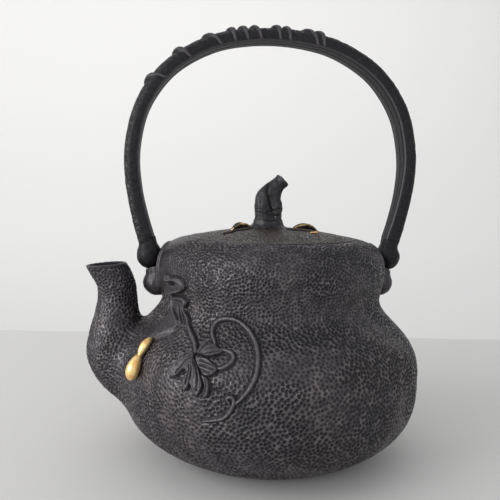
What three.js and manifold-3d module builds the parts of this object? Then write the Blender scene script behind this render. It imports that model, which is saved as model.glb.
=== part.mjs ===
// A Japanese cast iron water kettle with a gourd-shaped body, a lift-off lid and a hollow bail handle.
// Units are millimetres, +Z is up, and the origin is the centre of the flat base.
// The spout points along -X, the handle stands in the XZ plane and swings about the X axis.

import * as THREE from 'three';
import { mergeVertices } from 'three/addons/utils/BufferGeometryUtils.js';
import Module from 'manifold-3d';

const wasm = await Module();
wasm.setup();

// General clearance between two pieces that touch.
const GAP = 0.3;

// Pot: outside radii, and the rise from each to the next.
const BASE_RADIUS = 46;
const BELLY_RADIUS = 85.9;
const BELLY_HEIGHT = 48.5;
const WAIST_TUCK = 2.4;
const WAIST_RISE = 43;
const DRUM_RADIUS = 65.7;
const DRUM_RISE = 15.5;
const SHOULDER_RISE = 18;
const WALL = 3.2;
const FLOOR_THICKNESS = 4;
const BOWL_FULLNESS = 3.05;
const BELLY_SKEW = 1.48;
const SHOULDER_FULLNESS = 2.4;

// Mouth: the rebate that the lid drops into, and the ledge that it rests on.
const SEAT_RADIUS = 48.3;
const SEAT_DEPTH = 3;
const LEDGE_WIDTH = 5.5;
const LEDGE_THICKNESS = 4.4;

// Lid: a shallow dome with a locating flange under it.
const LID_CLEARANCE = 0.4;
const LID_RIM_STEP = 0.3;
const LID_RISE = 5.6;
const LID_THICKNESS = 3.2;
const FLANGE_CLEARANCE = 0.7;
const FLANGE_WALL = 2.6;
const FLANGE_DEPTH = 9;

// Knob: a cut vine stem, riveted through the lid. Girth is a share of the stem's radius.
const KNOB_HEIGHT = 27.6;
const KNOB_RADIUS = 7.4;
const KNOB_DEPTH_SHARE = 0.86;
const KNOB_RIBS = 5;
const KNOB_RIB_DEPTH = 0.07;
const KNOB_TWIST = 75;
const KNOB_LEAN = 47;
const KNOB_LEAN_START = 0.5;
const KNOB_SEGMENTS = 28;
const KNOB_STATIONS = [
  { share: 0, aside: -2.2, girth: 1.3 },
  { share: 0.06, aside: -2.2, girth: 1.14 },
  { share: 0.17, aside: -2.6, girth: 1 },
  { share: 0.42, aside: -2.5, girth: 1.08 },
  { share: 0.63, aside: -2.5, girth: 1 },
  { share: 0.78, aside: -0.6, girth: 0.82 },
  { share: 0.9, aside: 3, girth: 0.64 },
  { share: 1, aside: 6.25, girth: 0.58 },
];
const RIVET_RADIUS = 2;
const RIVET_REACH = 12;
const RIVET_HEAD_RADIUS = 4.4;
const RIVET_HEAD_HEIGHT = 2;
const WASHER_RADIUS = 6.5;
const WASHER_THICKNESS = 1.2;

// Spout: centre line as distance beyond the belly's radius and rise above the belly, with the outside radius.
const SPOUT_LINE = [
  { beyond: -27.4, rise: -2, radius: 24.5 },
  { beyond: -15.4, rise: 0, radius: 23.3 },
  { beyond: -5.4, rise: 4.5, radius: 22 },
  { beyond: 1.3, rise: 12, radius: 19.6 },
  { beyond: 3.1, rise: 21.5, radius: 15.9 },
  { beyond: 3, rise: 31.5, radius: 12.9 },
  { beyond: 2.9, rise: 42, radius: 11.1 },
  { beyond: 4.2, rise: 51, radius: 10.6 },
  { beyond: 9.7, rise: 60.6, radius: 10.2 },
];
const SPOUT_WALL = 2.4;
const SPOUT_LIP_WALL = 1.5;
const SPOUT_STEPS = 14;
const SPOUT_MOUTH_TILT = 5;

// Lugs, by their place beyond the drum's radius and above the drum: pad, neck, lobe and blind pin hole.
const PIVOT_RISE = 7.5;
const PAD_HALF_WIDTH = 9.5;
const PAD_HALF_HEIGHT = 15.5;
const PAD_RAISE = 1.4;
const LOBE_RADIUS = 8;
const LOBE_DROP = 7.5;
const LOBE_BEYOND = 1.5;
const NECK_RADIUS = 7.2;
const NECK_CLEARANCE = 0.8;
const PIN_RADIUS = 2.4;
const PIN_BORE_DEPTH = 8;
const BOSS_RADIUS = 6.5;
const BOSS_DEPTH = 7;

// Bulb that closes each end of the handle and turns on the pivot pin.
const BULB_BEYOND = 5.3;
const BULB_RADIUS = 7.8;
const BULB_LENGTH = 15.4;
const BULB_ROUNDNESS = 0.92;
const BULB_CLEARANCE = 0.5;
const TENON_LENGTH = 9;

// Handle: centre line of one leg, as shares of the bulb's distance from the axis and of the crown's rise.
const HANDLE_LINE = [
  { out: 1.018, up: 0.076 },
  { out: 1.065, up: 0.172 },
  { out: 1.11, up: 0.293 },
  { out: 1.132, up: 0.429 },
  { out: 1.111, up: 0.549 },
  { out: 1.054, up: 0.666 },
  { out: 0.952, up: 0.768 },
  { out: 0.824, up: 0.85 },
  { out: 0.652, up: 0.917 },
  { out: 0.444, up: 0.968 },
  { out: 0.218, up: 0.993 },
];
const CROWN_RISE = 124.9;
const HANDLE_DEPTH = 9.2;
const HANDLE_WIDTH = 17.5;
const HANDLE_WALL = 1.6;
const HANDLE_INNER_CORNER = 0.5;
const HANDLE_OUTER_CORNER = 0.85;
const HANDLE_SEAM = 1;
const HANDLE_STEPS = 40;
const HANDLE_SHEET_POINTS = 14;
const HANDLE_STATIONS = [
  { share: 0, width: 0.62, depth: 1 },
  { share: 0.14, width: 0.7, depth: 1 },
  { share: 0.3, width: 0.9, depth: 1.02 },
  { share: 0.5, width: 1, depth: 1.02 },
  { share: 0.7, width: 0.97, depth: 1 },
  { share: 1, width: 0.82, depth: 0.94 },
];

// Vine raised on the handle's outer face: each pass by its distance along the handle and how far its ends run on.
const VINE_RADIUS = 1.45;
const VINE_STAND = 0.1;
const VINE_PASSES = [
  { along: 86.8, runs: 6 }, { along: 110.2, runs: 4.5 }, { along: 127.6, runs: 6.4 }, { along: 141.1, runs: 1.2 },
  { along: 147.2, runs: 2.4 }, { along: 153.6, runs: 3.8 }, { along: 165.7, runs: 2.6 }, { along: 171.4, runs: 2.6 },
  { along: 182.8, runs: 7.6 }, { along: 189.6, runs: 4.4 },
];

// Gilt gourd that hangs where the spout leaves the pot.
const GOURD_LINE = [
  { angle: -151.8, up: 73.3, lift: 1.2 },
  { angle: -151.3, up: 65.5, lift: 2 },
  { angle: -150.9, up: 60.1, lift: 3.2 },
  { angle: -152.7, up: 52.8, lift: 2.4 },
];
const GOURD_STATIONS = [
  { share: 0, radius: 0.8 },
  { share: 0.08, radius: 1 },
  { share: 0.17, radius: 2.1 },
  { share: 0.27, radius: 2.5 },
  { share: 0.37, radius: 2.1 },
  { share: 0.45, radius: 1.2 },
  { share: 0.53, radius: 2.2 },
  { share: 0.66, radius: 3.7 },
  { share: 0.8, radius: 4.1 },
  { share: 0.93, radius: 2.9 },
  { share: 1, radius: 0.6 },
];

// Facets round the larger forms.
const POT_SEGMENTS = 52;
const WATER_SEGMENTS = 36;
const SPOUT_SEGMENTS = 22;
const ROUND_SEGMENTS = 16;

// Vine in relief on the pot, as angle round the axis in degrees and height. -90 is the front, 180 the spout.
const STALK_PATH = [[-138.2, 85.7], [-136.5, 81.8], [-132.8, 78.4], [-128.1, 75.9], [-125.8, 73]];
const TENDRIL_PATH = [
  [-119.2, 73], [-120.4, 78], [-122.8, 81.3], [-123.7, 84.2], [-122, 87.2], [-117.8, 88.6], [-113.1, 88], [-108.7, 85.2],
  [-105.5, 81.6], [-103.5, 77.4], [-102.7, 72.8], [-102.8, 68], [-104.2, 62.6], [-106.2, 58.2], [-108.8, 53.9],
];
const CURL_PATH = [
  [-112.4, 53.9], [-112.6, 55.9], [-111.5, 57.1], [-110, 56.6], [-109.2, 53.9], [-109.8, 50.6], [-111.8, 47.5], [-114.5, 45.9],
  [-116.6, 45.7], [-119.7, 43.8],
];
const LOOP_PATH = [[-118.2, 76], [-114.9, 75.8], [-112.3, 73.9], [-111.9, 71.3], [-113.6, 69.1], [-116.4, 68]];
const VINE_SIDES = 5;
const TENDRIL_RADIUS = 1.3;
const CURL_RADIUS = 1.05;
const STALK_RADIUS = 1.5;

// Leaves in relief, as outlines in angle and height round a middle point.
const LEAF = {
  middle: [-125.4, 68.4],
  raise: 1.9,
  edge: 0.9,
  outline: [
    [-126.3, 74], [-124.2, 77.8], [-119.6, 77.6], [-116.4, 74.8], [-120.4, 71.9], [-116.6, 69.5], [-117.7, 66],
    [-120.8, 64.7], [-119.2, 60.9], [-118, 55.8], [-120, 54.8], [-121.6, 59.8], [-122.9, 55.3], [-124.4, 59.3],
    [-127.7, 56.8], [-128.1, 65.2], [-133.3, 61.3], [-135.7, 64.4], [-132, 67.4], [-134.1, 69.4], [-132, 71.9],
    [-129.1, 73.1],
  ],
};
const DRAPE = {
  middle: [-151.4, 85.8],
  raise: 1.5,
  edge: 1,
  outline: [
    [-174.7, 95.3], [-164.9, 96.3], [-153.7, 95.2], [-142.9, 96.2], [-141.3, 93.5], [-142.3, 90.4], [-137.2, 86.8], [-136.8, 82.6],
    [-142.8, 81.1], [-143.9, 78.8], [-149.7, 75.4], [-153.7, 72.8], [-159.6, 76.2], [-165.9, 81.8], [-172.8, 88.2],
  ],
};
const FOLDED_LEAF = {
  middle: [-148.8, 102.5],
  raise: 1.8,
  edge: 1.2,
  outline: [
    [-158.2, 105.5], [-147.8, 107.1], [-141.5, 105.1], [-141.5, 101.4], [-147.6, 98.6], [-153.5, 96.5], [-156.8, 100],
  ],
};
const RELIEF_ROOT = 1.6;

// Leaves and tendrils that spread over the lid, by angle and distance beyond the knob's foot.
const LID_LEAVES = {
  lid_leaf_left: { angle: 186, beyond: 0.8, length: 11.7, width: 7.5, raise: 2.8 },
  lid_leaf_right: { angle: 2, beyond: 1, length: 14.7, width: 8, raise: 3 },
};
const LID_LEAF_THICKNESS = 0.9;
const LID_LEAF_CURL = 0.5;
const LID_LEAF_STATIONS = [
  { share: 0, spread: 0.3, lift: 0.05 },
  { share: 0.15, spread: 0.65, lift: 0.2 },
  { share: 0.35, spread: 0.95, lift: 0.35 },
  { share: 0.55, spread: 1, lift: 0.4 },
  { share: 0.75, spread: 0.78, lift: 0.32 },
  { share: 0.9, spread: 0.42, lift: 0.18 },
  { share: 1, spread: 0.15, lift: 0.05 },
];
const LID_TENDRILS = {
  lid_tendril_left: [[-156, 0.9], [-151, 5.7], [-152, 11.7], [-146, 17.7], [-150, 22.7]],
  lid_tendril_right: [[-62, 0.9], [-48, 3.2], [-36, 6.7], [-31, 12.7], [-38, 16.7], [-46, 14.7]],
};
const LID_TENDRIL_RADIUS = 0.8;
const LID_TENDRIL_TIP_SHARE = 0.6;

const BLACK_IRON = { color: 0x2b2a2c, roughness: 0.62, metalness: 0.55 };
const WROUGHT_IRON = { color: 0x262528, roughness: 0.55, metalness: 0.6 };
const GILT_BRONZE = { color: 0xd9a441, roughness: 0.3, metalness: 1 };
const WORN_GILT = { color: 0x8a6a3a, roughness: 0.45, metalness: 0.9 };

const rad = THREE.MathUtils.degToRad;
const lerp = THREE.MathUtils.lerp;

// Heights and radii that follow from the dimensions above.
const WAIST_RADIUS = DRUM_RADIUS - WAIST_TUCK;
const WAIST_HEIGHT = BELLY_HEIGHT + WAIST_RISE;
const DRUM_HEIGHT = WAIST_HEIGHT + DRUM_RISE;
const SHOULDER_HEIGHT = DRUM_HEIGHT + SHOULDER_RISE;
const MOUTH_RADIUS = SEAT_RADIUS - LEDGE_WIDTH;
const PIVOT_HEIGHT = DRUM_HEIGHT + PIVOT_RISE;
const BULB_OUT = DRUM_RADIUS + BULB_BEYOND;
const PIN_INNER_END = BULB_OUT - BULB_RADIUS - PIN_BORE_DEPTH;
const PIN_OUTER_END = BULB_OUT + BULB_LENGTH * 0.3;
const KNOB_FOOT_REACH = KNOB_RADIUS * KNOB_STATIONS[0].girth * (1 + KNOB_RIB_DEPTH) - KNOB_STATIONS[0].aside;

// Turns a geometry into a solid that can be joined and cut.
function toSolid(geometry) {
  const bare = geometry.clone();
  for (const name of Object.keys(bare.attributes)) {
    if (name !== 'position') bare.deleteAttribute(name);
  }
  const welded = mergeVertices(bare, 1e-4);
  const mesh = new wasm.Mesh({
    numProp: 3,
    vertProperties: new Float32Array(welded.attributes.position.array),
    triVerts: new Uint32Array(welded.index.array),
  });
  return new wasm.Manifold(mesh);
}

function toGeometry(solid) {
  const mesh = solid.getMesh();
  const geometry = new THREE.BufferGeometry();
  geometry.setAttribute('position', new THREE.BufferAttribute(new Float32Array(mesh.vertProperties), 3));
  geometry.setIndex(new THREE.BufferAttribute(new Uint32Array(mesh.triVerts), 1));
  return geometry;
}

function joinAll(solids) {
  return solids.reduce((joined, solid) => joined.add(solid));
}

// A value at a share of the way along a list of stations, straight between them.
function valueAt(stations, name, share) {
  const next = Math.max(1, stations.findIndex((station) => station.share >= share));
  const [a, b] = [stations[next - 1], stations[next]];
  return lerp(a[name], b[name], (share - a.share) / (b.share - a.share));
}

// Skins equal rings of points and closes both ends, or joins the last ring to the first.
function loft(rings, isLoop = false) {
  const count = rings[0].length;
  const points = rings.flat();
  const faces = [];
  const spans = isLoop ? rings.length : rings.length - 1;
  for (let i = 0; i < spans; i++) {
    const here = i * count;
    const next = ((i + 1) % rings.length) * count;
    for (let j = 0; j < count; j++) {
      const k = (j + 1) % count;
      faces.push(here + j, here + k, next + k, here + j, next + k, next + j);
    }
  }
  if (!isLoop) {
    for (const [ring, isFirst] of [[rings[0], true], [rings.at(-1), false]]) {
      const start = isFirst ? 0 : (rings.length - 1) * count;
      const middle = ring.reduce((sum, p) => sum.add(p), new THREE.Vector3()).divideScalar(count);
      points.push(middle);
      for (let j = 0; j < count; j++) {
        const k = (j + 1) % count;
        faces.push(points.length - 1, start + (isFirst ? k : j), start + (isFirst ? j : k));
      }
    }
  }
  const geometry = new THREE.BufferGeometry().setFromPoints(points);
  geometry.setIndex(faces);
  return geometry;
}

// Turns a lofted geometry the right way out, whichever way its rings ran.
function loftSolid(rings, isLoop = false) {
  const geometry = loft(rings, isLoop);
  const solid = toSolid(geometry);
  if (solid.volume() > 0) return solid;
  geometry.setIndex([...geometry.index.array].reverse());
  return toSolid(geometry);
}

// Revolves a closed outline of [radius, height] points about +Z. An outline that starts on the axis also ends on it.
function revolve(outline, segments) {
  const touchesAxis = outline[0][0] === 0;
  const points = (touchesAxis ? outline : [...outline, outline[0]]).map(([r, z]) => new THREE.Vector2(r, z));
  const geometry = new THREE.LatheGeometry(points, segments);
  geometry.rotateX(Math.PI / 2);
  return toSolidEitherWay(geometry);
}

function toSolidEitherWay(geometry) {
  const solid = toSolid(dropSlivers(geometry));
  if (solid.volume() > 0) return solid;
  const turned = dropSlivers(geometry);
  turned.setIndex([...turned.index.array].reverse());
  return toSolid(turned);
}

// Welds a geometry and leaves out the faces that collapse where an outline meets the axis.
function dropSlivers(geometry) {
  const bare = geometry.clone();
  bare.deleteAttribute('normal');
  bare.deleteAttribute('uv');
  const welded = mergeVertices(bare, 1e-4);
  const kept = [];
  const index = welded.index.array;
  for (let i = 0; i < index.length; i += 3) {
    const [a, b, c] = [index[i], index[i + 1], index[i + 2]];
    if (a !== b && b !== c && c !== a) kept.push(a, b, c);
  }
  welded.setIndex(kept);
  return welded;
}

function placed(geometry, matrix) {
  return toSolid(geometry.clone().applyMatrix4(matrix));
}

// A cylinder along any axis, from one point to another.
function rod(from, to, radius, segments = ROUND_SEGMENTS) {
  const length = from.distanceTo(to);
  const geometry = new THREE.CylinderGeometry(radius, radius, length, segments);
  const turn = new THREE.Quaternion().setFromUnitVectors(new THREE.Vector3(0, 1, 0), to.clone().sub(from).normalize());
  const middle = from.clone().add(to).multiplyScalar(0.5);
  return placed(geometry, new THREE.Matrix4().compose(middle, turn, new THREE.Vector3(1, 1, 1)));
}

function ellipsoid(centre, radii, segments = ROUND_SEGMENTS) {
  const geometry = new THREE.SphereGeometry(1, segments, Math.round(segments * 0.6));
  return placed(geometry, new THREE.Matrix4().compose(centre, new THREE.Quaternion(), radii));
}

// Outside radius of the pot at a height.
function potRadius(height) {
  if (height < BELLY_HEIGHT) {
    const t = Math.max(0, height) / BELLY_HEIGHT;
    return lerp(BASE_RADIUS, BELLY_RADIUS, 1 - (1 - t) ** BOWL_FULLNESS);
  }
  if (height < WAIST_HEIGHT) {
    const t = (height - BELLY_HEIGHT) / (WAIST_HEIGHT - BELLY_HEIGHT);
    return lerp(WAIST_RADIUS, BELLY_RADIUS, (1 + Math.cos(Math.PI * t ** BELLY_SKEW)) / 2);
  }
  if (height < DRUM_HEIGHT) {
    const t = (height - WAIST_HEIGHT) / (DRUM_HEIGHT - WAIST_HEIGHT);
    return lerp(DRUM_RADIUS, WAIST_RADIUS, (1 + Math.cos(Math.PI * t)) / 2);
  }
  const t = Math.min(1, (height - DRUM_HEIGHT) / (SHOULDER_HEIGHT - DRUM_HEIGHT));
  return lerp(SEAT_RADIUS, DRUM_RADIUS, Math.sqrt(1 - t ** SHOULDER_FULLNESS));
}

// Heights at which the pot's outline is sampled, closer together where it curves most.
function outlineHeights() {
  const heights = [];
  for (let i = 0; i <= 8; i++) heights.push(BELLY_HEIGHT * (i / 8) ** 1.25);
  for (let i = 1; i <= 6; i++) heights.push(lerp(BELLY_HEIGHT, WAIST_HEIGHT, i / 6));
  for (let i = 1; i <= 3; i++) heights.push(lerp(WAIST_HEIGHT, DRUM_HEIGHT, i / 3));
  for (let i = 1; i <= 6; i++) heights.push(lerp(DRUM_HEIGHT, SHOULDER_HEIGHT, Math.sin((i / 6) * Math.PI / 2)));
  return heights;
}

// Unit normal of the pot's wall at a height, as [radial, upward].
function wallNormal(height) {
  const step = 0.05;
  const low = Math.max(0, height - step);
  const high = Math.min(SHOULDER_HEIGHT, height + step);
  const slope = new THREE.Vector2(potRadius(high) - potRadius(low), high - low).normalize();
  return [slope.y, -slope.x];
}

// A point on the pot's outside at an angle in degrees and a height, lifted off the wall by lift.
function onWall(angle, height, lift = 0) {
  const [radial, upward] = wallNormal(height);
  const radius = potRadius(height) + radial * lift;
  return new THREE.Vector3(radius * Math.cos(rad(angle)), radius * Math.sin(rad(angle)), height + upward * lift);
}

function wallDirection(angle, height) {
  return onWall(angle, height, 1).sub(onWall(angle, height));
}

// The pot's outside as a full solid, grown by outset.
function potOutside(outset = 0) {
  const side = outlineHeights().map((z) => {
    const [radial, upward] = wallNormal(z);
    return [potRadius(z) + radial * outset, z + upward * outset];
  });
  side[0] = [BASE_RADIUS + outset, -outset];
  const outline = [[0, -outset], ...side, [0, SHOULDER_HEIGHT + outset]];
  return revolve(outline, POT_SEGMENTS);
}

// The water space, up to the flat underside of the lip.
function potInside() {
  const ceiling = SHOULDER_HEIGHT - SEAT_DEPTH - LEDGE_THICKNESS;
  const side = outlineHeights()
    .map((z) => {
      const [radial, upward] = wallNormal(z);
      return [potRadius(z) - radial * WALL, z - upward * WALL];
    })
    .filter(([r, z]) => z > FLOOR_THICKNESS + 0.5 && z < ceiling - 0.5 && r > 0);
  const outline = [[0, FLOOR_THICKNESS], [side[0][0] - 2, FLOOR_THICKNESS], ...side];
  outline.push([side.at(-1)[0] - 0.5, ceiling], [0, ceiling]);
  return revolve(outline, WATER_SEGMENTS);
}

// A swept tube with round sections that stand square to the path. hint is a direction that never runs along it.
function tubeAlong(curve, radiusAt, steps, segments, hint) {
  const rings = [];
  for (let i = 0; i <= steps; i++) {
    const t = i / steps;
    const centre = curve.getPointAt(t);
    const tangent = curve.getTangentAt(t);
    const side = new THREE.Vector3().crossVectors(hint, tangent).normalize();
    const up = new THREE.Vector3().crossVectors(tangent, side);
    const radius = radiusAt(t);
    rings.push(Array.from({ length: segments }, (_, j) => {
      const a = (2 * Math.PI * j) / segments;
      return centre.clone()
        .addScaledVector(side, radius * Math.cos(a))
        .addScaledVector(up, radius * Math.sin(a));
    }));
  }
  return loftSolid(rings);
}

// The spout as a solid of its outer form, or of its bore when shrink is the wall's thickness, and lipShrink the lip's.
function spoutForm(shrink, lipShrink, overshoot) {
  const stations = SPOUT_LINE.map(({ beyond, rise, radius }, i) => ({
    at: new THREE.Vector3(-BELLY_RADIUS - beyond, 0, BELLY_HEIGHT + rise),
    radius: radius - (i === SPOUT_LINE.length - 1 ? lipShrink : shrink),
  }));
  const curve = new THREE.CatmullRomCurve3(stations.map((s) => s.at), false, 'centripetal');
  const rings = [];
  for (let i = 0; i <= SPOUT_STEPS; i++) {
    const t = i / SPOUT_STEPS;
    const place = t * (stations.length - 1);
    const low = Math.min(stations.length - 2, Math.floor(place));
    const radius = lerp(stations[low].radius, stations[low + 1].radius, place - low);
    const centre = curve.getPoint(t);
    const tangent = curve.getTangent(t);
    const tilt = rad(SPOUT_MOUTH_TILT) * THREE.MathUtils.smoothstep(t, 0.75, 1);
    const level = new THREE.Vector3(-Math.sin(tilt), 0, Math.cos(tilt));
    const facing = tangent.clone().lerp(level, THREE.MathUtils.smoothstep(t, 0.6, 1)).normalize();
    const side = new THREE.Vector3(0, 1, 0);
    const across = new THREE.Vector3().crossVectors(side, facing).normalize();
    rings.push(Array.from({ length: SPOUT_SEGMENTS }, (_, j) => {
      const a = (2 * Math.PI * j) / SPOUT_SEGMENTS;
      return centre.clone().addScaledVector(across, radius * Math.cos(a)).addScaledVector(side, radius * Math.sin(a));
    }));
  }
  if (overshoot > 0) {
    const lift = new THREE.Vector3(0, 0, overshoot);
    rings.push(rings.at(-1).map((p) => p.clone().add(lift)));
  }
  return loftSolid(rings);
}

// One lug: pad, neck and lobe, with a boss inside the wall for the pin. side is -1 at the spout, 1 opposite.
function lug(side) {
  const out = side * (DRUM_RADIUS + LOBE_BEYOND);
  const lobeHeight = DRUM_HEIGHT - LOBE_DROP;
  const neckTop = PIVOT_HEIGHT - (HANDLE_WIDTH * HANDLE_STATIONS[0].width) / 2 - NECK_CLEARANCE;
  const lobe = ellipsoid(new THREE.Vector3(out, 0, lobeHeight), new THREE.Vector3(LOBE_RADIUS, LOBE_RADIUS, LOBE_RADIUS));
  const neck = rod(new THREE.Vector3(out, 0, lobeHeight), new THREE.Vector3(out, 0, neckTop), NECK_RADIUS);
  return joinAll([padOnWall(side), lobe, neck, pinBoss(side)]);
}

function pinBoss(side) {
  const wallAt = potRadius(PIVOT_HEIGHT);
  return rod(
    new THREE.Vector3(side * (wallAt - WALL - BOSS_DEPTH), 0, PIVOT_HEIGHT),
    new THREE.Vector3(side * wallAt, 0, PIVOT_HEIGHT),
    BOSS_RADIUS,
  );
}

// The raised pad: a slice of the grown pot inside an upright ellipse.
function padOnWall(side) {
  const shape = new THREE.CylinderGeometry(1, 1, DRUM_RADIUS / 2, 28);
  shape.rotateZ(Math.PI / 2);
  const cutter = placed(shape, new THREE.Matrix4()
    .makeTranslation(side * DRUM_RADIUS, 0, DRUM_HEIGHT)
    .multiply(new THREE.Matrix4().makeScale(1, PAD_HALF_WIDTH, PAD_HALF_HEIGHT)));
  return potOutside(PAD_RAISE).intersect(cutter);
}

// A vine of round section that lies half sunk in the wall.
function reliefVine(path, radius, tipShare, steps) {
  const curve = new THREE.CatmullRomCurve3(path.map(([a, z]) => onWall(a, z, radius * 0.25)), false, 'centripetal');
  const centreAngle = path[Math.floor(path.length / 2)];
  const radiusAt = (t) => radius * lerp(1, tipShare, Math.abs(2 * t - 1) ** 3);
  return tubeAlong(curve, radiusAt, steps, VINE_SIDES, wallDirection(...centreAngle));
}

// A plate on the wall inside an outline of [angle, height] points, domed towards its middle.
function reliefPlate({ outline, middle, raise, edge }) {
  const ringAt = (share, lift) => outline.map(([a, z]) => (
    onWall(lerp(middle[0], a, share), lerp(middle[1], z, share), lift)
  ));
  const top = [0.38, 0.72, 1].map((share) => ringAt(share, lerp(raise, edge, share ** 3)));
  const bottom = [0.98, 0.5].map((share) => ringAt(share, -RELIEF_ROOT));
  return loftSolid([...top, ...bottom]);
}

// The whole casting: pot, spout, lugs and relief, hollowed, with the lid's seat and the pivot holes.
function kettleBody() {
  const relief = [
    reliefVine(STALK_PATH, STALK_RADIUS, 0.7, 10),
    reliefVine(TENDRIL_PATH, TENDRIL_RADIUS, 0.55, 24),
    reliefVine(CURL_PATH, CURL_RADIUS, 0.5, 16),
    reliefVine(LOOP_PATH, CURL_RADIUS, 0.6, 10),
    reliefPlate(LEAF),
    reliefPlate(DRAPE),
    reliefPlate(FOLDED_LEAF),
  ];
  const outside = joinAll([potOutside(), spoutForm(0, 0, 0), lug(-1), lug(1), ...relief]);
  const seatFloor = SHOULDER_HEIGHT - SEAT_DEPTH;
  const seat = rod(
    new THREE.Vector3(0, 0, seatFloor),
    new THREE.Vector3(0, 0, SHOULDER_HEIGHT + SEAT_DEPTH),
    SEAT_RADIUS,
    POT_SEGMENTS,
  );
  const mouth = rod(
    new THREE.Vector3(0, 0, seatFloor - LEDGE_THICKNESS * 1.5),
    new THREE.Vector3(0, 0, SHOULDER_HEIGHT),
    MOUTH_RADIUS,
    POT_SEGMENTS,
  );
  const water = potInside().subtract(pinBoss(-1).add(pinBoss(1)));
  return outside
    .subtract(joinAll([water, spoutForm(SPOUT_WALL, SPOUT_LIP_WALL, SPOUT_WALL), seat, mouth]))
    .subtract(joinAll([pinHole(-1), pinHole(1), bulb(-1, BULB_CLEARANCE), bulb(1, BULB_CLEARANCE)]));
}

// The blind hole for a pivot pin, open towards the handle.
function pinHole(side) {
  return rod(
    new THREE.Vector3(side * PIN_INNER_END, 0, PIVOT_HEIGHT),
    new THREE.Vector3(side * PIN_OUTER_END, 0, PIVOT_HEIGHT),
    PIN_RADIUS + GAP,
  );
}

function pivotPin(side) {
  return rod(
    new THREE.Vector3(side * (PIN_INNER_END + GAP), 0, PIVOT_HEIGHT),
    new THREE.Vector3(side * (PIN_OUTER_END - GAP), 0, PIVOT_HEIGHT),
    PIN_RADIUS,
  );
}

// The turned form of a bulb about the pivot axis, grown by grow.
function bulb(side, grow = 0) {
  const half = BULB_LENGTH / 2 + grow;
  const outline = [[0, -half]];
  for (let i = 1; i < 10; i++) {
    const a = (Math.PI * i) / 10;
    outline.push([(BULB_RADIUS + grow) * Math.sin(a) ** BULB_ROUNDNESS, -half * Math.cos(a)]);
  }
  outline.push([0, half]);
  const geometry = toGeometry(revolve(outline, 20));
  const turned = geometry.applyMatrix4(new THREE.Matrix4().makeRotationY(Math.PI / 2));
  return placed(turned, new THREE.Matrix4().makeTranslation(side * BULB_OUT, 0, PIVOT_HEIGHT));
}

// Centre line of the handle, from the spout side over the crown to the far side.
function handleCurve() {
  const leg = (side) => HANDLE_LINE.map(({ out, up }) => (
    new THREE.Vector3(side * BULB_OUT * out, 0, PIVOT_HEIGHT + CROWN_RISE * up)
  ));
  const crown = new THREE.Vector3(0, 0, PIVOT_HEIGHT + CROWN_RISE);
  return new THREE.CatmullRomCurve3([...leg(-1), crown, ...leg(1).reverse()], false, 'centripetal');
}

// Frame of the handle at a share of its length: centre, direction, outward and sideways.
function handleFrame(curve, t) {
  const centre = curve.getPointAt(t);
  const along = curve.getTangentAt(t);
  const sideways = new THREE.Vector3(0, 1, 0);
  const outward = new THREE.Vector3().crossVectors(along, sideways).normalize();
  return { centre, along, outward, sideways };
}

// A point of the handle's section at a share of its length: flat inside with tight corners, rounded outside.
function handleSection(t, angle, inset = 0) {
  const legShare = 1 - Math.abs(2 * t - 1);
  const halfWidth = (HANDLE_WIDTH * valueAt(HANDLE_STATIONS, 'width', legShare)) / 2 - inset;
  const halfDepth = (HANDLE_DEPTH * valueAt(HANDLE_STATIONS, 'depth', legShare)) / 2 - inset;
  const c = Math.cos(angle);
  const s = Math.sin(angle);
  const corner = s < 0 ? HANDLE_INNER_CORNER : HANDLE_OUTER_CORNER;
  return [halfWidth * Math.sign(c) * Math.abs(c) ** corner, halfDepth * Math.sign(s) * Math.abs(s) ** corner];
}

// The hollow handle: a rolled sheet whose edges leave a seam along the inside.
function handleShell() {
  const curve = handleCurve();
  const seamAngle = Math.asin(HANDLE_SEAM / HANDLE_WIDTH);
  const angles = Array.from({ length: HANDLE_SHEET_POINTS }, (_, i) => (
    -Math.PI / 2 + seamAngle + ((2 * Math.PI - 2 * seamAngle) * i) / (HANDLE_SHEET_POINTS - 1)
  ));
  const rings = [];
  for (let i = 0; i <= HANDLE_STEPS; i++) {
    const t = i / HANDLE_STEPS;
    const { centre, outward, sideways } = handleFrame(curve, t);
    const place = ([w, d]) => centre.clone().addScaledVector(sideways, w).addScaledVector(outward, d);
    const outer = angles.map((a) => place(handleSection(t, a)));
    const inner = angles.map((a) => place(handleSection(t, a, HANDLE_WALL))).reverse();
    rings.push([...outer, ...inner]);
  }
  return sweepSheet(rings, HANDLE_SHEET_POINTS);
}

// Skins rings whose first half is a sheet's outer face and second half its inner face, and closes the cut ends.
function sweepSheet(rings, count) {
  const size = rings[0].length;
  const points = rings.flat();
  const faces = [];
  for (let i = 0; i < rings.length - 1; i++) {
    for (let j = 0; j < size; j++) {
      const k = (j + 1) % size;
      const [a, b, c, d] = [i * size + j, i * size + k, (i + 1) * size + k, (i + 1) * size + j];
      faces.push(a, b, c, a, c, d);
    }
  }
  for (const [start, isFirst] of [[0, true], [(rings.length - 1) * size, false]]) {
    for (let j = 0; j < count - 1; j++) {
      const [a, b, c, d] = [start + j, start + j + 1, start + size - 2 - j, start + size - 1 - j];
      if (isFirst) faces.push(a, c, b, a, d, c);
      else faces.push(a, b, c, a, c, d);
    }
  }
  const geometry = new THREE.BufferGeometry().setFromPoints(points);
  geometry.setIndex(faces);
  const solid = toSolid(geometry);
  if (solid.volume() > 0) return solid;
  geometry.setIndex([...geometry.index.array].reverse());
  return toSolid(geometry);
}

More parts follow.
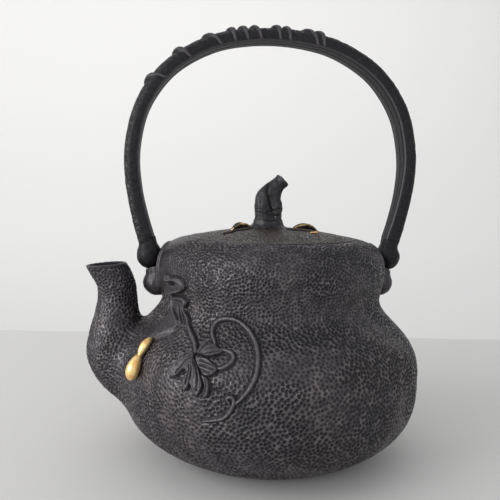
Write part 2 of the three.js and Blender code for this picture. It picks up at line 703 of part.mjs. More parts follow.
// A bulb with a tenon that plugs the hollow end of the handle, bored for the pivot pin.
function handleEnd(side) {
  const curve = handleCurve();
  const length = curve.getLength();
  const plug = [];
  for (let i = 0; i <= 4; i++) {
    const along = lerp(-6, TENON_LENGTH, i / 4);
    const t = Math.max(0, along / length);
    const { centre, along: tangent, outward, sideways } = handleFrame(curve, t);
    if (along < 0) centre.addScaledVector(tangent, along);
    const inset = HANDLE_WALL + GAP;
    plug.push(Array.from({ length: ROUND_SEGMENTS }, (_, j) => {
      const [w, d] = handleSection(t, (2 * Math.PI * j) / ROUND_SEGMENTS, inset);
      return new THREE.Vector3(
        -side * (centre.x + sideways.x * w + outward.x * d),
        centre.y + sideways.y * w + outward.y * d,
        centre.z + sideways.z * w + outward.z * d,
      );
    }));
  }
  const collar = [];
  for (let i = 0; i <= 2; i++) {
    const { centre, along: tangent, outward, sideways } = handleFrame(curve, 0);
    centre.addScaledVector(tangent, lerp(-7, -GAP, i / 2));
    collar.push(Array.from({ length: ROUND_SEGMENTS }, (_, j) => {
      const [w, d] = handleSection(0, (2 * Math.PI * j) / ROUND_SEGMENTS, lerp(0.9, 0, i / 2));
      return new THREE.Vector3(
        -side * (centre.x + outward.x * d),
        centre.y + sideways.y * w,
        centre.z + outward.z * d,
      );
    }));
  }
  return joinAll([bulb(side), loftSolid(plug), loftSolid(collar)]).subtract(pinHole(side));
}

// One pass of the vine over the handle's outer face, from edge to edge.
function vinePass(curve, { along, runs }) {
  const length = curve.getLength();
  const steps = 8;
  const sides = 6;
  const reach = rad(105);
  const points = Array.from({ length: steps + 1 }, (_, i) => {
    const swing = lerp(-1, 1, i / steps);
    const t = (along - runs * swing) / length;
    const { centre, outward, sideways } = handleFrame(curve, t);
    const [w, d] = handleSection(t, Math.PI / 2 - reach * swing, -VINE_STAND);
    return centre.addScaledVector(sideways, w).addScaledVector(outward, d);
  });
  const path = new THREE.CatmullRomCurve3(points, false, 'centripetal');
  const hub = curve.getPointAt(along / length);
  const rings = points.map((centre, i) => {
    const tangent = path.getTangent(i / steps);
    const side = new THREE.Vector3().crossVectors(centre.clone().sub(hub), tangent).normalize();
    const up = new THREE.Vector3().crossVectors(tangent, side);
    const radius = VINE_RADIUS * lerp(1, 0.55, Math.abs(2 * i / steps - 1) ** 3);
    return Array.from({ length: sides }, (_, j) => {
      const a = (2 * Math.PI * j) / sides;
      return centre.clone().addScaledVector(side, radius * Math.cos(a)).addScaledVector(up, radius * Math.sin(a));
    });
  });
  return loftSolid(rings);
}

function handleArch() {
  const curve = handleCurve();
  return joinAll([handleShell(), ...VINE_PASSES.map((pass) => vinePass(curve, pass))]);
}

const LID_RADIUS = SEAT_RADIUS - LID_CLEARANCE;
const LID_UNDERSIDE = SHOULDER_HEIGHT - SEAT_DEPTH + GAP;
const LID_RIM_TOP = SHOULDER_HEIGHT + LID_RIM_STEP;
const LID_TOP = LID_RIM_TOP + LID_RISE;

// Height of the lid's top face at a radius.
function lidHeight(radius) {
  return LID_RIM_TOP + LID_RISE * (1 - (radius / LID_RADIUS) ** 2);
}

function lidPlate() {
  const bore = RIVET_RADIUS + GAP;
  const flangeOut = MOUTH_RADIUS - FLANGE_CLEARANCE;
  const flangeIn = flangeOut - FLANGE_WALL;
  const outline = [];
  for (let i = 0; i <= 6; i++) {
    const r = lerp(bore, LID_RADIUS - 0.6, i / 6);
    outline.push([r, lidHeight(r)]);
  }
  outline.push([LID_RADIUS, LID_RIM_TOP - 0.6], [LID_RADIUS, LID_UNDERSIDE], [flangeOut, LID_UNDERSIDE]);
  outline.push([flangeOut, LID_UNDERSIDE - FLANGE_DEPTH], [flangeIn, LID_UNDERSIDE - FLANGE_DEPTH]);
  for (let i = 0; i <= 3; i++) {
    const r = lerp(flangeIn, bore, i / 3);
    outline.push([r, lidHeight(r) - LID_THICKNESS]);
  }
  return revolve(outline, POT_SEGMENTS);
}

function knobStem() {
  const foot = LID_TOP + GAP;
  const rings = KNOB_STATIONS.map(({ share, aside, girth }) => {
    const lean = rad(KNOB_LEAN) * THREE.MathUtils.smoothstep(share, KNOB_LEAN_START, 1);
    return Array.from({ length: KNOB_SEGMENTS }, (_, j) => {
      const a = (2 * Math.PI * j) / KNOB_SEGMENTS;
      const r = KNOB_RADIUS * girth * (1 + KNOB_RIB_DEPTH * Math.cos(KNOB_RIBS * (a + rad(KNOB_TWIST) * share)));
      const local = new THREE.Vector3(r * Math.cos(a), r * KNOB_DEPTH_SHARE * Math.sin(a), 0);
      local.applyAxisAngle(new THREE.Vector3(0, 1, 0), lean);
      return local.add(new THREE.Vector3(aside, 0, foot + share * KNOB_HEIGHT));
    });
  });
  const rivetHole = rod(
    new THREE.Vector3(0, 0, foot - GAP),
    new THREE.Vector3(0, 0, LID_TOP + RIVET_REACH + GAP),
    RIVET_RADIUS + GAP,
  );
  return loftSolid(rings).subtract(rivetHole);
}

const WASHER_TOP = LID_TOP - LID_THICKNESS - GAP;

function knobWasher() {
  const outline = [
    [RIVET_RADIUS + GAP, WASHER_TOP - WASHER_THICKNESS],
    [WASHER_RADIUS, WASHER_TOP - WASHER_THICKNESS],
    [WASHER_RADIUS, WASHER_TOP - 0.2],
    [RIVET_RADIUS + GAP, WASHER_TOP],
  ];
  return revolve(outline, 28);
}

// The rivet: a peened head under the washer and a shank that ends in the knob.
function knobRivet() {
  const seat = WASHER_TOP - WASHER_THICKNESS - GAP;
  const outline = [
    [0, seat - RIVET_HEAD_HEIGHT],
    [RIVET_HEAD_RADIUS * 0.62, seat - RIVET_HEAD_HEIGHT * 0.85],
    [RIVET_HEAD_RADIUS, seat - RIVET_HEAD_HEIGHT * 0.3],
    [RIVET_HEAD_RADIUS, seat],
    [RIVET_RADIUS, seat],
    [RIVET_RADIUS, LID_TOP + RIVET_REACH],
    [0, LID_TOP + RIVET_REACH],
  ];
  return revolve(outline, 24);
}

// A thin pointed leaf on the lid, curled up at its sides.
function lidLeaf({ angle, beyond, length, width, raise }) {
  const rings = LID_LEAF_STATIONS.map(({ share, spread, lift }) => {
    const out = KNOB_FOOT_REACH + beyond + length * share;
    const top = [];
    const bottom = [];
    for (let j = 0; j <= 6; j++) {
      const across = -1 + j / 3;
      const base = lidHeight(out) + GAP + raise * (lift + LID_LEAF_CURL * spread * across * across);
      const aside = (width / 2) * spread * across;
      top.push(new THREE.Vector3(out, aside, base + LID_LEAF_THICKNESS));
      bottom.push(new THREE.Vector3(out, aside, base));
    }
    return [...top, ...bottom.reverse()];
  });
  const turned = rings.map((ring) => ring.map((p) => p.applyAxisAngle(new THREE.Vector3(0, 0, 1), rad(angle))));
  return sweepSheet(turned, 7);
}

// A tendril on the lid, from [angle, distance beyond the knob's foot] points.
function lidTendril(path) {
  const lift = LID_TENDRIL_RADIUS + GAP;
  const points = path.map(([angle, beyond]) => {
    const radius = KNOB_FOOT_REACH + beyond;
    return new THREE.Vector3(radius * Math.cos(rad(angle)), radius * Math.sin(rad(angle)), lidHeight(radius) + lift);
  });
  const curve = new THREE.CatmullRomCurve3(points, false, 'centripetal');
  const radiusAt = (t) => LID_TENDRIL_RADIUS * lerp(1, LID_TENDRIL_TIP_SHARE, t);
  return tubeAlong(curve, radiusAt, 18, 6, new THREE.Vector3(0, 0, 1));
}

// The gilt gourd: two lobes on a line over the wall, cut to follow the pot and spout behind it.
function giltGourd() {
  const curve = new THREE.CatmullRomCurve3(GOURD_LINE.map(({ angle, up, lift }) => onWall(angle, up, lift)));
  const gourd = tubeAlong(curve, (t) => valueAt(GOURD_STATIONS, 'radius', t), 22, 14, new THREE.Vector3(0, 1, 0));
  const behind = potOutside(GAP).add(spoutForm(-GAP, -GAP, 0));
  return gourd.subtract(behind);
}

const kettle = new THREE.Group();

function addPiece(name, solid, look) {
  const mesh = new THREE.Mesh(toGeometry(solid), new THREE.MeshStandardMaterial(look));
  mesh.name = name;
  kettle.add(mesh);
}

addPiece('kettle_body', kettleBody(), BLACK_IRON);
addPiece('gilt_gourd', giltGourd(), GILT_BRONZE);
addPiece('lid', lidPlate(), BLACK_IRON);
addPiece('lid_knob', knobStem(), BLACK_IRON);
addPiece('knob_washer', knobWasher(), WROUGHT_IRON);
addPiece('knob_rivet', knobRivet(), WROUGHT_IRON);
for (const [name, leaf] of Object.entries(LID_LEAVES)) addPiece(name, lidLeaf(leaf), WORN_GILT);
for (const [name, path] of Object.entries(LID_TENDRILS)) addPiece(name, lidTendril(path), WORN_GILT);
addPiece('handle', handleArch(), WROUGHT_IRON);
for (const [end, side] of [['spout_side', -1], ['back_side', 1]]) {
  addPiece(`handle_end_${end}`, handleEnd(side), WROUGHT_IRON);
  addPiece(`pivot_pin_${end}`, pivotPin(side), WROUGHT_IRON);
}

export default kettle;
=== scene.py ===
"""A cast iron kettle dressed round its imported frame: pitted iron, vines in relief and worn gilding.

Lengths are in millimetres, as in the part's source, and become metres where a mesh is made.
Solids are shaped as distance fields, which are negative inside the metal.
"""

import math
import random
from collections import namedtuple

import bpy
import numpy as np
import openvdb
from mathutils import Matrix, Vector
from mathutils.kdtree import KDTree


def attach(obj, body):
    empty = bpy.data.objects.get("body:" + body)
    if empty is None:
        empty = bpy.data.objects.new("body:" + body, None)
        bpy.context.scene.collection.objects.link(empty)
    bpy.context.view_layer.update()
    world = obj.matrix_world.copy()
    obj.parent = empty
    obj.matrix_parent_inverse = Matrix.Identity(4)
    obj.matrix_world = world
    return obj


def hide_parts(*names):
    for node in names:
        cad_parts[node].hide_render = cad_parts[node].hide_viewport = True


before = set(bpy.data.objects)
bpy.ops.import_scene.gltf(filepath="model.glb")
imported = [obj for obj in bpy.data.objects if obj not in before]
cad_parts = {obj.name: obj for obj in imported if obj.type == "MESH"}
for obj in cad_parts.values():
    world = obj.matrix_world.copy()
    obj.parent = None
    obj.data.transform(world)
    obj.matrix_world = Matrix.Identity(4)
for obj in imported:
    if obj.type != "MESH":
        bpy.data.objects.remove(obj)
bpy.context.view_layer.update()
MM = 0.001
DETAIL = 1
FAR = 9
TINY = 1e-9

# Dimensions of the part, as its source has them.
GAP = 0.3
BASE_RADIUS, BELLY_RADIUS, BELLY_HEIGHT = 46, 85.9, 48.5
WAIST_RADIUS, WAIST_HEIGHT = 63.3, 91.5
DRUM_RADIUS, DRUM_HEIGHT = 65.7, 107
SHOULDER_HEIGHT = 125
BOWL_FULLNESS, BELLY_SKEW, SHOULDER_FULLNESS = 3.05, 1.48, 2.4
WALL, FLOOR_THICKNESS = 3.2, 4
SEAT_RADIUS, SEAT_DEPTH, LEDGE_WIDTH, LEDGE_THICKNESS = 48.3, 3, 5.5, 4.4
WATER_CEILING = SHOULDER_HEIGHT - SEAT_DEPTH - LEDGE_THICKNESS
LID_RADIUS, LID_RISE, LID_THICKNESS = SEAT_RADIUS - 0.4, 5.6, 3.2
LID_RIM_TOP = SHOULDER_HEIGHT + 0.3
LID_UNDERSIDE = SHOULDER_HEIGHT - SEAT_DEPTH + GAP
LID_TOP = LID_RIM_TOP + LID_RISE
FLANGE_OUT = SEAT_RADIUS - LEDGE_WIDTH - 0.7
FLANGE_WALL, FLANGE_DEPTH = 2.6, 9
SPOUT_LINE = [
    (-27.4, -2, 24.5), (-15.4, 0, 23.3), (-5.4, 4.5, 22), (1.3, 12, 19.6), (3.1, 21.5, 15.9),
    (3, 31.5, 12.9), (2.9, 42, 11.1), (4.2, 51, 10.6), (9.7, 60.6, 10.2),
]
SPOUT_END = (-BELLY_RADIUS - SPOUT_LINE[-1][0], BELLY_HEIGHT + SPOUT_LINE[-1][1])
SPOUT_WALL, SPOUT_LIP_WALL, SPOUT_MOUTH_TILT = 2.4, 1.5, math.radians(5)
PIVOT_HEIGHT = DRUM_HEIGHT + 7.5
PAD_HALF_WIDTH, PAD_HALF_HEIGHT, PAD_RAISE = 9.5, 15.5, 1.4
LOBE_RADIUS, LOBE_OUT, LOBE_HEIGHT, NECK_RADIUS = 7.8, DRUM_RADIUS + 0.6, DRUM_HEIGHT - 8.2, 6.4
RIB_DEPTH, RIB_COUNT = 0.2, 11
BULB_OUT, BULB_RADIUS, BULB_LENGTH, BULB_CLEARANCE = 71, 7.8, 14.2, 0.7
PIN_RADIUS, PIN_INNER_END, PIN_OUTER_END = 2.4, BULB_OUT - BULB_RADIUS - 8, BULB_OUT + 4.6
BOSS_RADIUS, BOSS_DEPTH = 6.5, 7
CROWN_RISE, HANDLE_DEPTH, HANDLE_WIDTH = 124.9, 9.2, 17.5
HANDLE_INNER_CORNER, HANDLE_OUTER_CORNER = 0.5, 0.85
HANDLE_LINE = [
    (1.018, 0.076), (1.065, 0.172), (1.11, 0.293), (1.132, 0.429), (1.111, 0.549), (1.054, 0.666),
    (0.952, 0.768), (0.824, 0.85), (0.652, 0.917), (0.444, 0.968), (0.218, 0.993),
]
HANDLE_SHARES = (0, 0.14, 0.3, 0.5, 0.7, 1)
HANDLE_WIDTHS = (0.62, 0.7, 0.9, 1, 0.97, 0.82)
HANDLE_DEPTHS = (1.12, 1.04, 1.02, 1.02, 1, 0.94)
FOOT_HALF_WIDTH, FOOT_HALF_DEPTH = HANDLE_WIDTH / 2 * HANDLE_WIDTHS[0], HANDLE_DEPTH / 2 * HANDLE_DEPTHS[0]
NECK_TOP = PIVOT_HEIGHT - HANDLE_WIDTH * HANDLE_WIDTHS[0] / 2 - 0.8
# Each pass of the vine over the handle: its place along the handle, and how far it runs on from there.
VINE_PASSES = [
    (89.4, 6.5), (110.2, 4.5), (127.6, 6.4), (141.1, 1.2), (147.2, 2.4), (153.6, 3.8), (165.7, 2.6),
    (171.4, 2.6), (182.8, 7.6), (189.6, 4.4),
]
VINE_REACH = math.radians(112)

# The gilt gourd, as angle round the axis in degrees, height, lift off the wall and radius.
GOURD = [
    (-151.7, 73.4, 1.1, 0.8), (-151.5, 71.9, 1.7, 1.9), (-151.3, 69.9, 2.1, 2.3), (-151.2, 67.8, 2.1, 2),
    (-151.2, 65.6, 2, 1.2), (-151, 63.6, 2.4, 2.3), (-150.8, 60.6, 3, 3.4), (-151.1, 58.2, 3, 3.6),
    (-151.7, 56.2, 2.8, 2.8), (-152.1, 54.7, 2.6, 1.3),
]

# The knob, as stations of x, y, z and radius, and the plane of its cut end.
KNOB_STEM = [
    (0.2, 0.3, 130, 5.4), (0.5, 0.3, 136, 5.1), (0.9, 0.3, 142.5, 5.1), (0.6, 0.3, 147.5, 4.5),
    (1.1, 0.2, 151.5, 4.3), (2.9, 0.1, 155.4, 4.2), (6.25, 0, 159.05, 4.3), (10, 0, 162.8, 4.5),
]
KNOB_SEPAL = [
    (-5.2, -0.9, 130, 5.4), (-5.5, -0.9, 136, 4.7), (-5.8, -0.8, 143, 4.8), (-5.3, -0.5, 148.6, 4.5),
    (-2.7, -0.2, 153, 3.4), (0.6, 0, 156, 2.6),
]
KNOB_FOLD = np.array([
    (-1.8, 159.2), (-3.1, 155.1), (-3.6, 150.3), (-2.8, 146.4), (-1.4, 142.5), (0.3, 138.7), (0.9, 136.7),
])
KNOB_CUT_X, KNOB_CUT_HEIGHT, KNOB_CUT_TILT = 6.25, 159.05, math.radians(43)

# The lid's leaves, as their direction in degrees, start, length and width, and its tendrils, as x and y.
LEFT_LEAF, RIGHT_LEAF = (186, 12.4, 12.4, 8.6), (2, 13.2, 15, 9)
LEAF_CURL, LEAF_THICKNESS = 3.4, 0.75
LEFT_TENDRIL = [(-11.6, -6), (-16.4, -9.4), (-21.6, -11.6), (-25.6, -16), (-30.2, -17.6)]
RIGHT_TENDRIL = [(6.2, -11.4), (10.6, -11.6), (15.6, -11.2), (21.6, -13.2), (22.8, -17.8), (18.8, -19.8)]
LID_TENDRIL_RADIUS = 0.95

# How far apart the pits are, how deep, and how high the bumps are that break up smooth iron.
PIT_SPACING_DRUM, PIT_SPACING_BELLY, PIT_SPACING_SPOUT, PIT_SPACING_LID = 1.4, 1.7, 1.5, 1.35
PIT_DEPTH, LID_PIT_DEPTH = 0.5, 0.42
BUMP_SIZE, BODY_BUMP, LID_BUMP, BULB_BUMP = 1.1, 0.14, 0.12, 0.25

# How fine each mesh is, and which part of the casting's is split finer, because the front shows it.
BODY_VOXEL, LID_VOXEL, KNOB_VOXEL = 0.5 * DETAIL, 0.35 * DETAIL, 0.36 * DETAIL
GOURD_VOXEL, BULB_VOXEL, HANDLE_STEP = 0.25 * DETAIL, 0.35 * DETAIL, 0.42 * DETAIL
HANDLE_SIDES, TENDRIL_SIDES, FASTENER_SIDES = 108 // DETAIL, 12, 40
FINE_BEFORE_Y, FINE_BEFORE_X = 15, -84
INNER_CELL = 2

# Zones that hold the lugs, their sockets and the spout, so that only points in them are worked out.
LUG_ZONE_X, LUG_ZONE_LOW, LUG_ZONE_HIGH = 46, 84, 127
SOCKET_ZONE_X, SOCKET_ZONE_LOW = 52, 100
SPOUT_ZONE_X, BORE_ZONE_X = -38, -36

# Seeds of the random draws.
BODY_SCATTER, BODY_PITS, BODY_PATCHES, BODY_BUMPS = 7, 11, 3, 5
LID_SCATTER, LID_PITS, LID_BUMPS = 5, 13, 6
HANDLE_WAVES, HANDLE_GRIT, BULB_WAVES, KNOB_WAVES, KNOB_GRIT = 21, 22, 31, 41, 42

# The vine in relief on the pot, as angle round the axis in degrees and height.
STALK = [
    (-136.5, 83), (-134.5, 81.3), (-132.2, 79.6), (-130.1, 78), (-128.5, 76.5), (-127.3, 74.8),
    (-126.5, 73.4),
]
TENDRIL = [
    (-119, 74), (-120.1, 77.6), (-122.6, 80.9), (-123.7, 84.2), (-122, 87.2), (-117.8, 88.6), (-113.1, 88),
    (-108.7, 85.2), (-105.5, 81.6), (-103.5, 77.4), (-102.7, 72.8), (-102.8, 68), (-104.2, 62.6),
    (-106.2, 58.2), (-109, 53.9),
]
LOOP = [
    (-117.2, 75.6), (-114.9, 75.5), (-112.3, 74.5), (-111.4, 72.8), (-112.2, 70.7), (-114.4, 68.7),
    (-115.9, 68.3),
]
CURL = [
    (-110.8, 54.2), (-111.7, 55.4), (-111.2, 56.9), (-110, 56.8), (-109.4, 55), (-109.8, 52.6),
    (-110.9, 49.6), (-112.8, 46.7), (-115.4, 45.3), (-119.5, 43.8),
]
GOURD_STALK = [(-149.9, 74.3), (-147.6, 75.6), (-143.9, 77.6), (-142.2, 79.6), (-140.9, 81.3)]
# Each vine goes with its radius and the share of it at the tips.
VINES = [(STALK, 1.45, 0.8), (TENDRIL, 1.35, 0.6), (LOOP, 1.2, 0.7), (CURL, 1.1, 0.55), (GOURD_STALK, 0.6, 0.9)]
# Each fold or ridge of a lobe is a path with its depth or height and its width.
Lobe = namedtuple("Lobe", "height outline folds ridges")
LEAF_MIDDLE = (-125, 67.9)
LEAF_LOBES = [
    Lobe(
        height=2.1,
        outline=[
            (-126.2, 73.1), (-125.8, 74.5), (-125.3, 76.4), (-124.7, 77.5), (-124, 78.2), (-122.1, 77.9),
            (-120, 77.1), (-117.8, 76), (-115.8, 75.2), (-116.3, 74), (-117.9, 73.2), (-119.6, 72.5),
            (-121.4, 72.1), (-123.3, 72.4), (-124.9, 72.6),
        ],
        folds=[
            ([(-125.8, 73.3), (-125.5, 75.2), (-124.8, 77.2)], 0.59, 0.36),
            ([(-124.3, 73.2), (-123.5, 75.4), (-122.5, 77.6)], 0.59, 0.36),
            ([(-123, 72.6), (-120, 73.5), (-116.4, 74.8)], 0.45, 0.32),
        ],
        ridges=[
            ([(-125.2, 73.1), (-124.7, 75.8), (-124, 77.7)], 0.39, 0.32),
            ([(-123.7, 73), (-122, 75.3), (-119.8, 76.7)], 0.39, 0.32),
        ],
    ),
    Lobe(
        height=2.5,
        outline=[
            (-125.3, 71.7), (-123.6, 71.5), (-121.2, 71.3), (-119.3, 70.5), (-117.7, 69.4), (-116.1, 68.4),
            (-116, 67.1), (-116.9, 65.7), (-118.5, 64.6), (-119.9, 64.5), (-121.4, 65.9), (-122.9, 67.7),
            (-124.5, 69.7),
        ],
        folds=[
            ([(-122.6, 70.1), (-120, 69.5), (-116.9, 68.4)], 0.59, 0.32),
            ([(-122.3, 68.3), (-119.5, 67.9), (-116.9, 67.3)], 0.59, 0.32),
            ([(-121.6, 66.7), (-119.7, 66), (-118.1, 65.7)], 0.52, 0.32),
        ],
        ridges=[
            ([(-123.6, 70.6), (-120.2, 70.5), (-117, 68.8)], 0.39, 0.32),
            ([(-122.5, 69.1), (-119.1, 68.6), (-116.7, 67.8)], 0.33, 0.28),
            ([(-121.9, 67.4), (-118.9, 66.8), (-117.4, 66.5)], 0.33, 0.28),
        ],
    ),
    Lobe(
        height=1.8,
        outline=[
            (-121.5, 65.1), (-119.7, 64.4), (-118.8, 63.9), (-117.8, 61.2), (-117.5, 58.7), (-118, 56.1),
            (-119.1, 55.3), (-119.7, 56.5), (-119.3, 58.8), (-119.7, 61.2), (-120.8, 63.5),
        ],
        folds=[
            ([(-119.4, 63.4), (-118.8, 60.3), (-119, 57.2)], 0.52, 0.32),
        ],
        ridges=[
            ([(-118.6, 63.2), (-118, 60.4), (-118.2, 57), (-119, 55.8)], 0.59, 0.36),
        ],
    ),
    Lobe(
        height=1.9,
        outline=[
            (-126.9, 71.4), (-125.1, 70), (-123.3, 67.9), (-122.1, 66.1), (-120.9, 63.5), (-120.1, 60.7),
            (-120.6, 58), (-121.8, 55.2), (-122.9, 56.7), (-124, 59.2), (-124.9, 60.5), (-124.8, 63.4),
            (-125.5, 66.8),
        ],
        folds=[
            ([(-126, 70.2), (-123.6, 67.2), (-122.1, 63.3), (-121.8, 58.1)], 0.78, 0.36),
        ],
        ridges=[
            ([(-125.8, 68.9), (-124, 65), (-123.4, 60), (-122.3, 56.5)], 0.52, 0.32),
            ([(-123, 66.6), (-121.4, 63.4), (-121, 59.8)], 0.33, 0.32),
        ],
    ),
    Lobe(
        height=2.2,
        outline=[
            (-127, 70.7), (-125.6, 68.2), (-125, 64.8), (-124.7, 61.2), (-125, 58.5), (-126.3, 56.9),
            (-127, 58), (-126.8, 60.4), (-126.5, 63), (-126.6, 64.8), (-127.7, 65.7), (-127.7, 67.8),
        ],
        folds=[
            ([(-126.5, 68.8), (-125.7, 64.7), (-125.8, 60.2)], 0.59, 0.36),
        ],
        ridges=[
            ([(-128.1, 65.4), (-126.8, 65.1), (-126.3, 63.1), (-126.5, 59.3)], 0.65, 0.36),
            ([(-125.7, 67.5), (-125, 63.4), (-125.3, 59.6)], 0.33, 0.32),
        ],
    ),
    Lobe(
        height=2.1,
        outline=[
            (-126.5, 72.5), (-129, 73), (-130.4, 72.2), (-131.3, 71.8), (-132.2, 71.1), (-132.7, 69.8),
            (-131.8, 68.7), (-132.7, 67.5), (-133.6, 65.8), (-134.3, 64.1), (-133.6, 62.4), (-131.9, 61.7),
            (-130.3, 62.5), (-129.3, 64.2), (-128.5, 65.4), (-127.4, 65.8), (-126.3, 66.7), (-126, 68.8),
            (-126.1, 70.9),
        ],
        folds=[
            ([(-126.9, 71.8), (-128.6, 70.8), (-129.9, 69.1), (-130.9, 66.8)], 0.52, 0.36),
            ([(-126.8, 70.8), (-128.1, 68.8), (-129, 66.8), (-130.6, 63.6)], 0.52, 0.36),
            ([(-128.7, 71.9), (-129.8, 71), (-130.8, 70.3)], 0.72, 0.36),
        ],
        ridges=[
            ([(-132.1, 70.9), (-131.1, 71.5), (-129.8, 71.6)], 0.72, 0.32),
            ([(-128.1, 71.2), (-130, 68.1), (-132.7, 64.5)], 0.39, 0.36),
            ([(-127, 69.7), (-128.3, 66.6), (-130.2, 63.1)], 0.39, 0.32),
        ],
    ),
]
DRAPE_MIDDLE = (-151.5, 89.6)
DRAPE_LOBES = [
    Lobe(
        height=1.5,
        outline=[
            (-183.2, 97.2), (-169.2, 97.2), (-159.8, 96.7), (-152.3, 95.3), (-146.7, 96), (-142.7, 95.9),
            (-140.7, 94.7), (-140.7, 93), (-142.5, 90.9), (-142.6, 89.5), (-140.4, 87.9), (-137.9, 86.4),
            (-136.7, 84.9), (-136.1, 83), (-135.8, 81.8), (-138.3, 81.4), (-140.7, 81.4), (-141.8, 81.2),
            (-142.1, 80), (-143.2, 78.4), (-146.1, 76.7), (-148.8, 75), (-151.4, 73.7), (-158.9, 73.2),
            (-167, 74.1), (-176.6, 77.1),
        ],
        folds=[
            ([(-151, 93.5), (-151.3, 90.3), (-148.1, 87), (-143.8, 84.5)], 0.9, 0.5),
            ([(-146.5, 91.1), (-144.6, 87.6), (-140.1, 83.5)], 0.9, 0.5),
            ([(-155.7, 91.8), (-154.6, 87.5)], 0.6, 0.6),
            ([(-143.9, 89.4), (-140.9, 85.8), (-137.6, 82.8)], 0.7, 0.5),
            ([(-155.5, 85.4), (-154.6, 85.1)], 2.2, 0.6),
        ],
        ridges=[
            ([(-150.7, 94.9), (-145.4, 95.5), (-142.3, 95.1), (-141.6, 93.7), (-143.4, 91), (-143.2, 89.1),
              (-140.7, 87.3), (-138.2, 85.4), (-136.6, 82.6)], 0.6, 0.5),
            ([(-136.2, 82.3), (-138.7, 81.9), (-142.4, 81.7), (-143, 80.5), (-144.4, 78.9), (-146.9, 77.2),
              (-149.4, 75.5)], 0.7, 0.4),
            ([(-153.7, 92.6), (-151.5, 88.1), (-145.2, 84.2), (-142.2, 82)], 0.6, 0.6),
            ([(-159.4, 95.3), (-157.4, 90.6), (-155.6, 87.3)], 0.4, 0.7),
        ],
    ),
    Lobe(
        height=2.1,
        outline=[
            (-153.3, 94.9), (-146.7, 96.2), (-142.4, 96.2), (-140.3, 94.5), (-140.8, 92.7), (-142.5, 91),
            (-144.5, 91.5), (-147.3, 92.3), (-151.1, 92.6),
        ],
        folds=[
            ([(-149.4, 93.8), (-144.1, 93.8)], 0.5, 0.6),
        ],
        ridges=[
            ([(-151.6, 94.8), (-146.1, 95.8), (-142.6, 95.4), (-141.4, 94), (-142.2, 92.1)], 0.7, 0.45),
        ],
    ),
    Lobe(
        height=1.8,
        outline=[
            (-158, 106), (-155.5, 106.6), (-151.4, 106), (-146.3, 106.4), (-143.2, 105.8), (-140.8, 103.5),
            (-140.6, 102), (-142.9, 99.7), (-147.4, 98), (-153, 96.5), (-157.5, 95.3), (-158.8, 98.2),
            (-157.9, 100.9), (-159, 102.3),
        ],
        folds=[
            ([(-155.9, 102), (-152, 102.6), (-148, 103)], 1.8, 0.9),
            ([(-152.6, 105.9), (-148.4, 105.8)], 0.9, 0.5),
            ([(-156.7, 98.6), (-155.3, 95.7)], 0.6, 0.6),
        ],
        ridges=[
            ([(-157.4, 105.5), (-156.6, 103.6), (-151.7, 104.4), (-147.6, 105.1), (-144.9, 104.8),
              (-142.4, 103.6), (-142.2, 102), (-144.4, 100), (-149.1, 98.4), (-154.4, 97)], 0.9, 0.55),
        ],
    ),
]


# Arithmetic on arrays.
def smoothstep(low, high, x):
    t = np.clip((x - low) / (high - low), 0, 1)
    return t * t * (3 - 2 * t)


def bell(x, middle, width):
    """1 at the middle, and next to nothing two widths away."""
    return np.exp(-((x - middle) / width) ** 2)


def smooth_min(a, b, reach):
    mix = np.clip(0.5 + 0.5 * (b - a) / reach, 0, 1)
    return b + (a - b) * mix - reach * mix * (1 - mix)


def smooth_max(a, b, reach):
    return -smooth_min(-a, -b, reach)


def unit(vectors):
    return vectors / np.maximum(np.linalg.norm(vectors, axis=-1, keepdims=True), TINY)


def smooth_path(points, per_span, closed=False):
    """Close points on a curve through every given point."""
    given = np.array(points, float)
    if closed:
        padded = np.vstack([given[-1:], given, given[:2]])
    else:
        padded = np.vstack([2 * given[:1] - given[1:2], given, 2 * given[-1:] - given[-2:-1]])
    out = []
    for i in range(1, len(padded) - 2):
        p0, p1, p2, p3 = padded[i - 1:i + 3]
        t1 = np.linalg.norm(p1 - p0) ** 0.5
        t2 = t1 + np.linalg.norm(p2 - p1) ** 0.5
        t3 = t2 + np.linalg.norm(p3 - p2) ** 0.5
        for share in np.arange(per_span) / per_span:
            t = t1 + (t2 - t1) * share
            a1 = ((t1 - t) * p0 + t * p1) / t1
            a2 = ((t2 - t) * p1 + (t - t1) * p2) / (t2 - t1)
            a3 = ((t3 - t) * p2 + (t - t2) * p3) / (t3 - t2)
            b1 = ((t2 - t) * a1 + t * a2) / t2
            b2 = ((t3 - t) * a2 + (t - t1) * a3) / (t3 - t1)
            out.append(((t2 - t) * b1 + (t - t1) * b2) / (t2 - t1))
    if not closed:
        out.append(given[-1])
    return np.array(out)


def path_distance(points, path):
    """Distance from each point to an open path, and the share of the path where it is nearest."""
    nearest = np.full(len(points), np.inf)
    share_at = np.zeros(len(points))
    count = len(path) - 1
    for i in range(count):
        edge = path[i + 1] - path[i]
        away = points - path[i]
        t = np.clip(away @ edge / max(edge @ edge, TINY), 0, 1)
        d = ((away - t[:, None] * edge) ** 2).sum(1)
        closer = d < nearest
        nearest[closer] = d[closer]
        share_at[closer] = (i + t[closer]) / count
    return np.sqrt(nearest), share_at


def outline_distance(points, outline):
    """Distance from 2-D points to a closed outline, negative inside."""
    nearest = np.full(len(points), np.inf)
    inside = np.zeros(len(points), bool)
    for a, b in zip(outline, np.roll(outline, -1, 0)):
        edge = b - a
        away = points - a
        t = np.clip(away @ edge / max(edge @ edge, TINY), 0, 1)
        nearest = np.minimum(nearest, ((away - t[:, None] * edge) ** 2).sum(1))
        crosses = (a[1] > points[:, 1]) != (b[1] > points[:, 1])
        if crosses.any():
            inside ^= crosses & (points[:, 0] < a[0] + (points[:, 1] - a[1]) * edge[0] / (edge[1] or TINY))
    return np.where(inside, -1, 1) * np.sqrt(nearest)


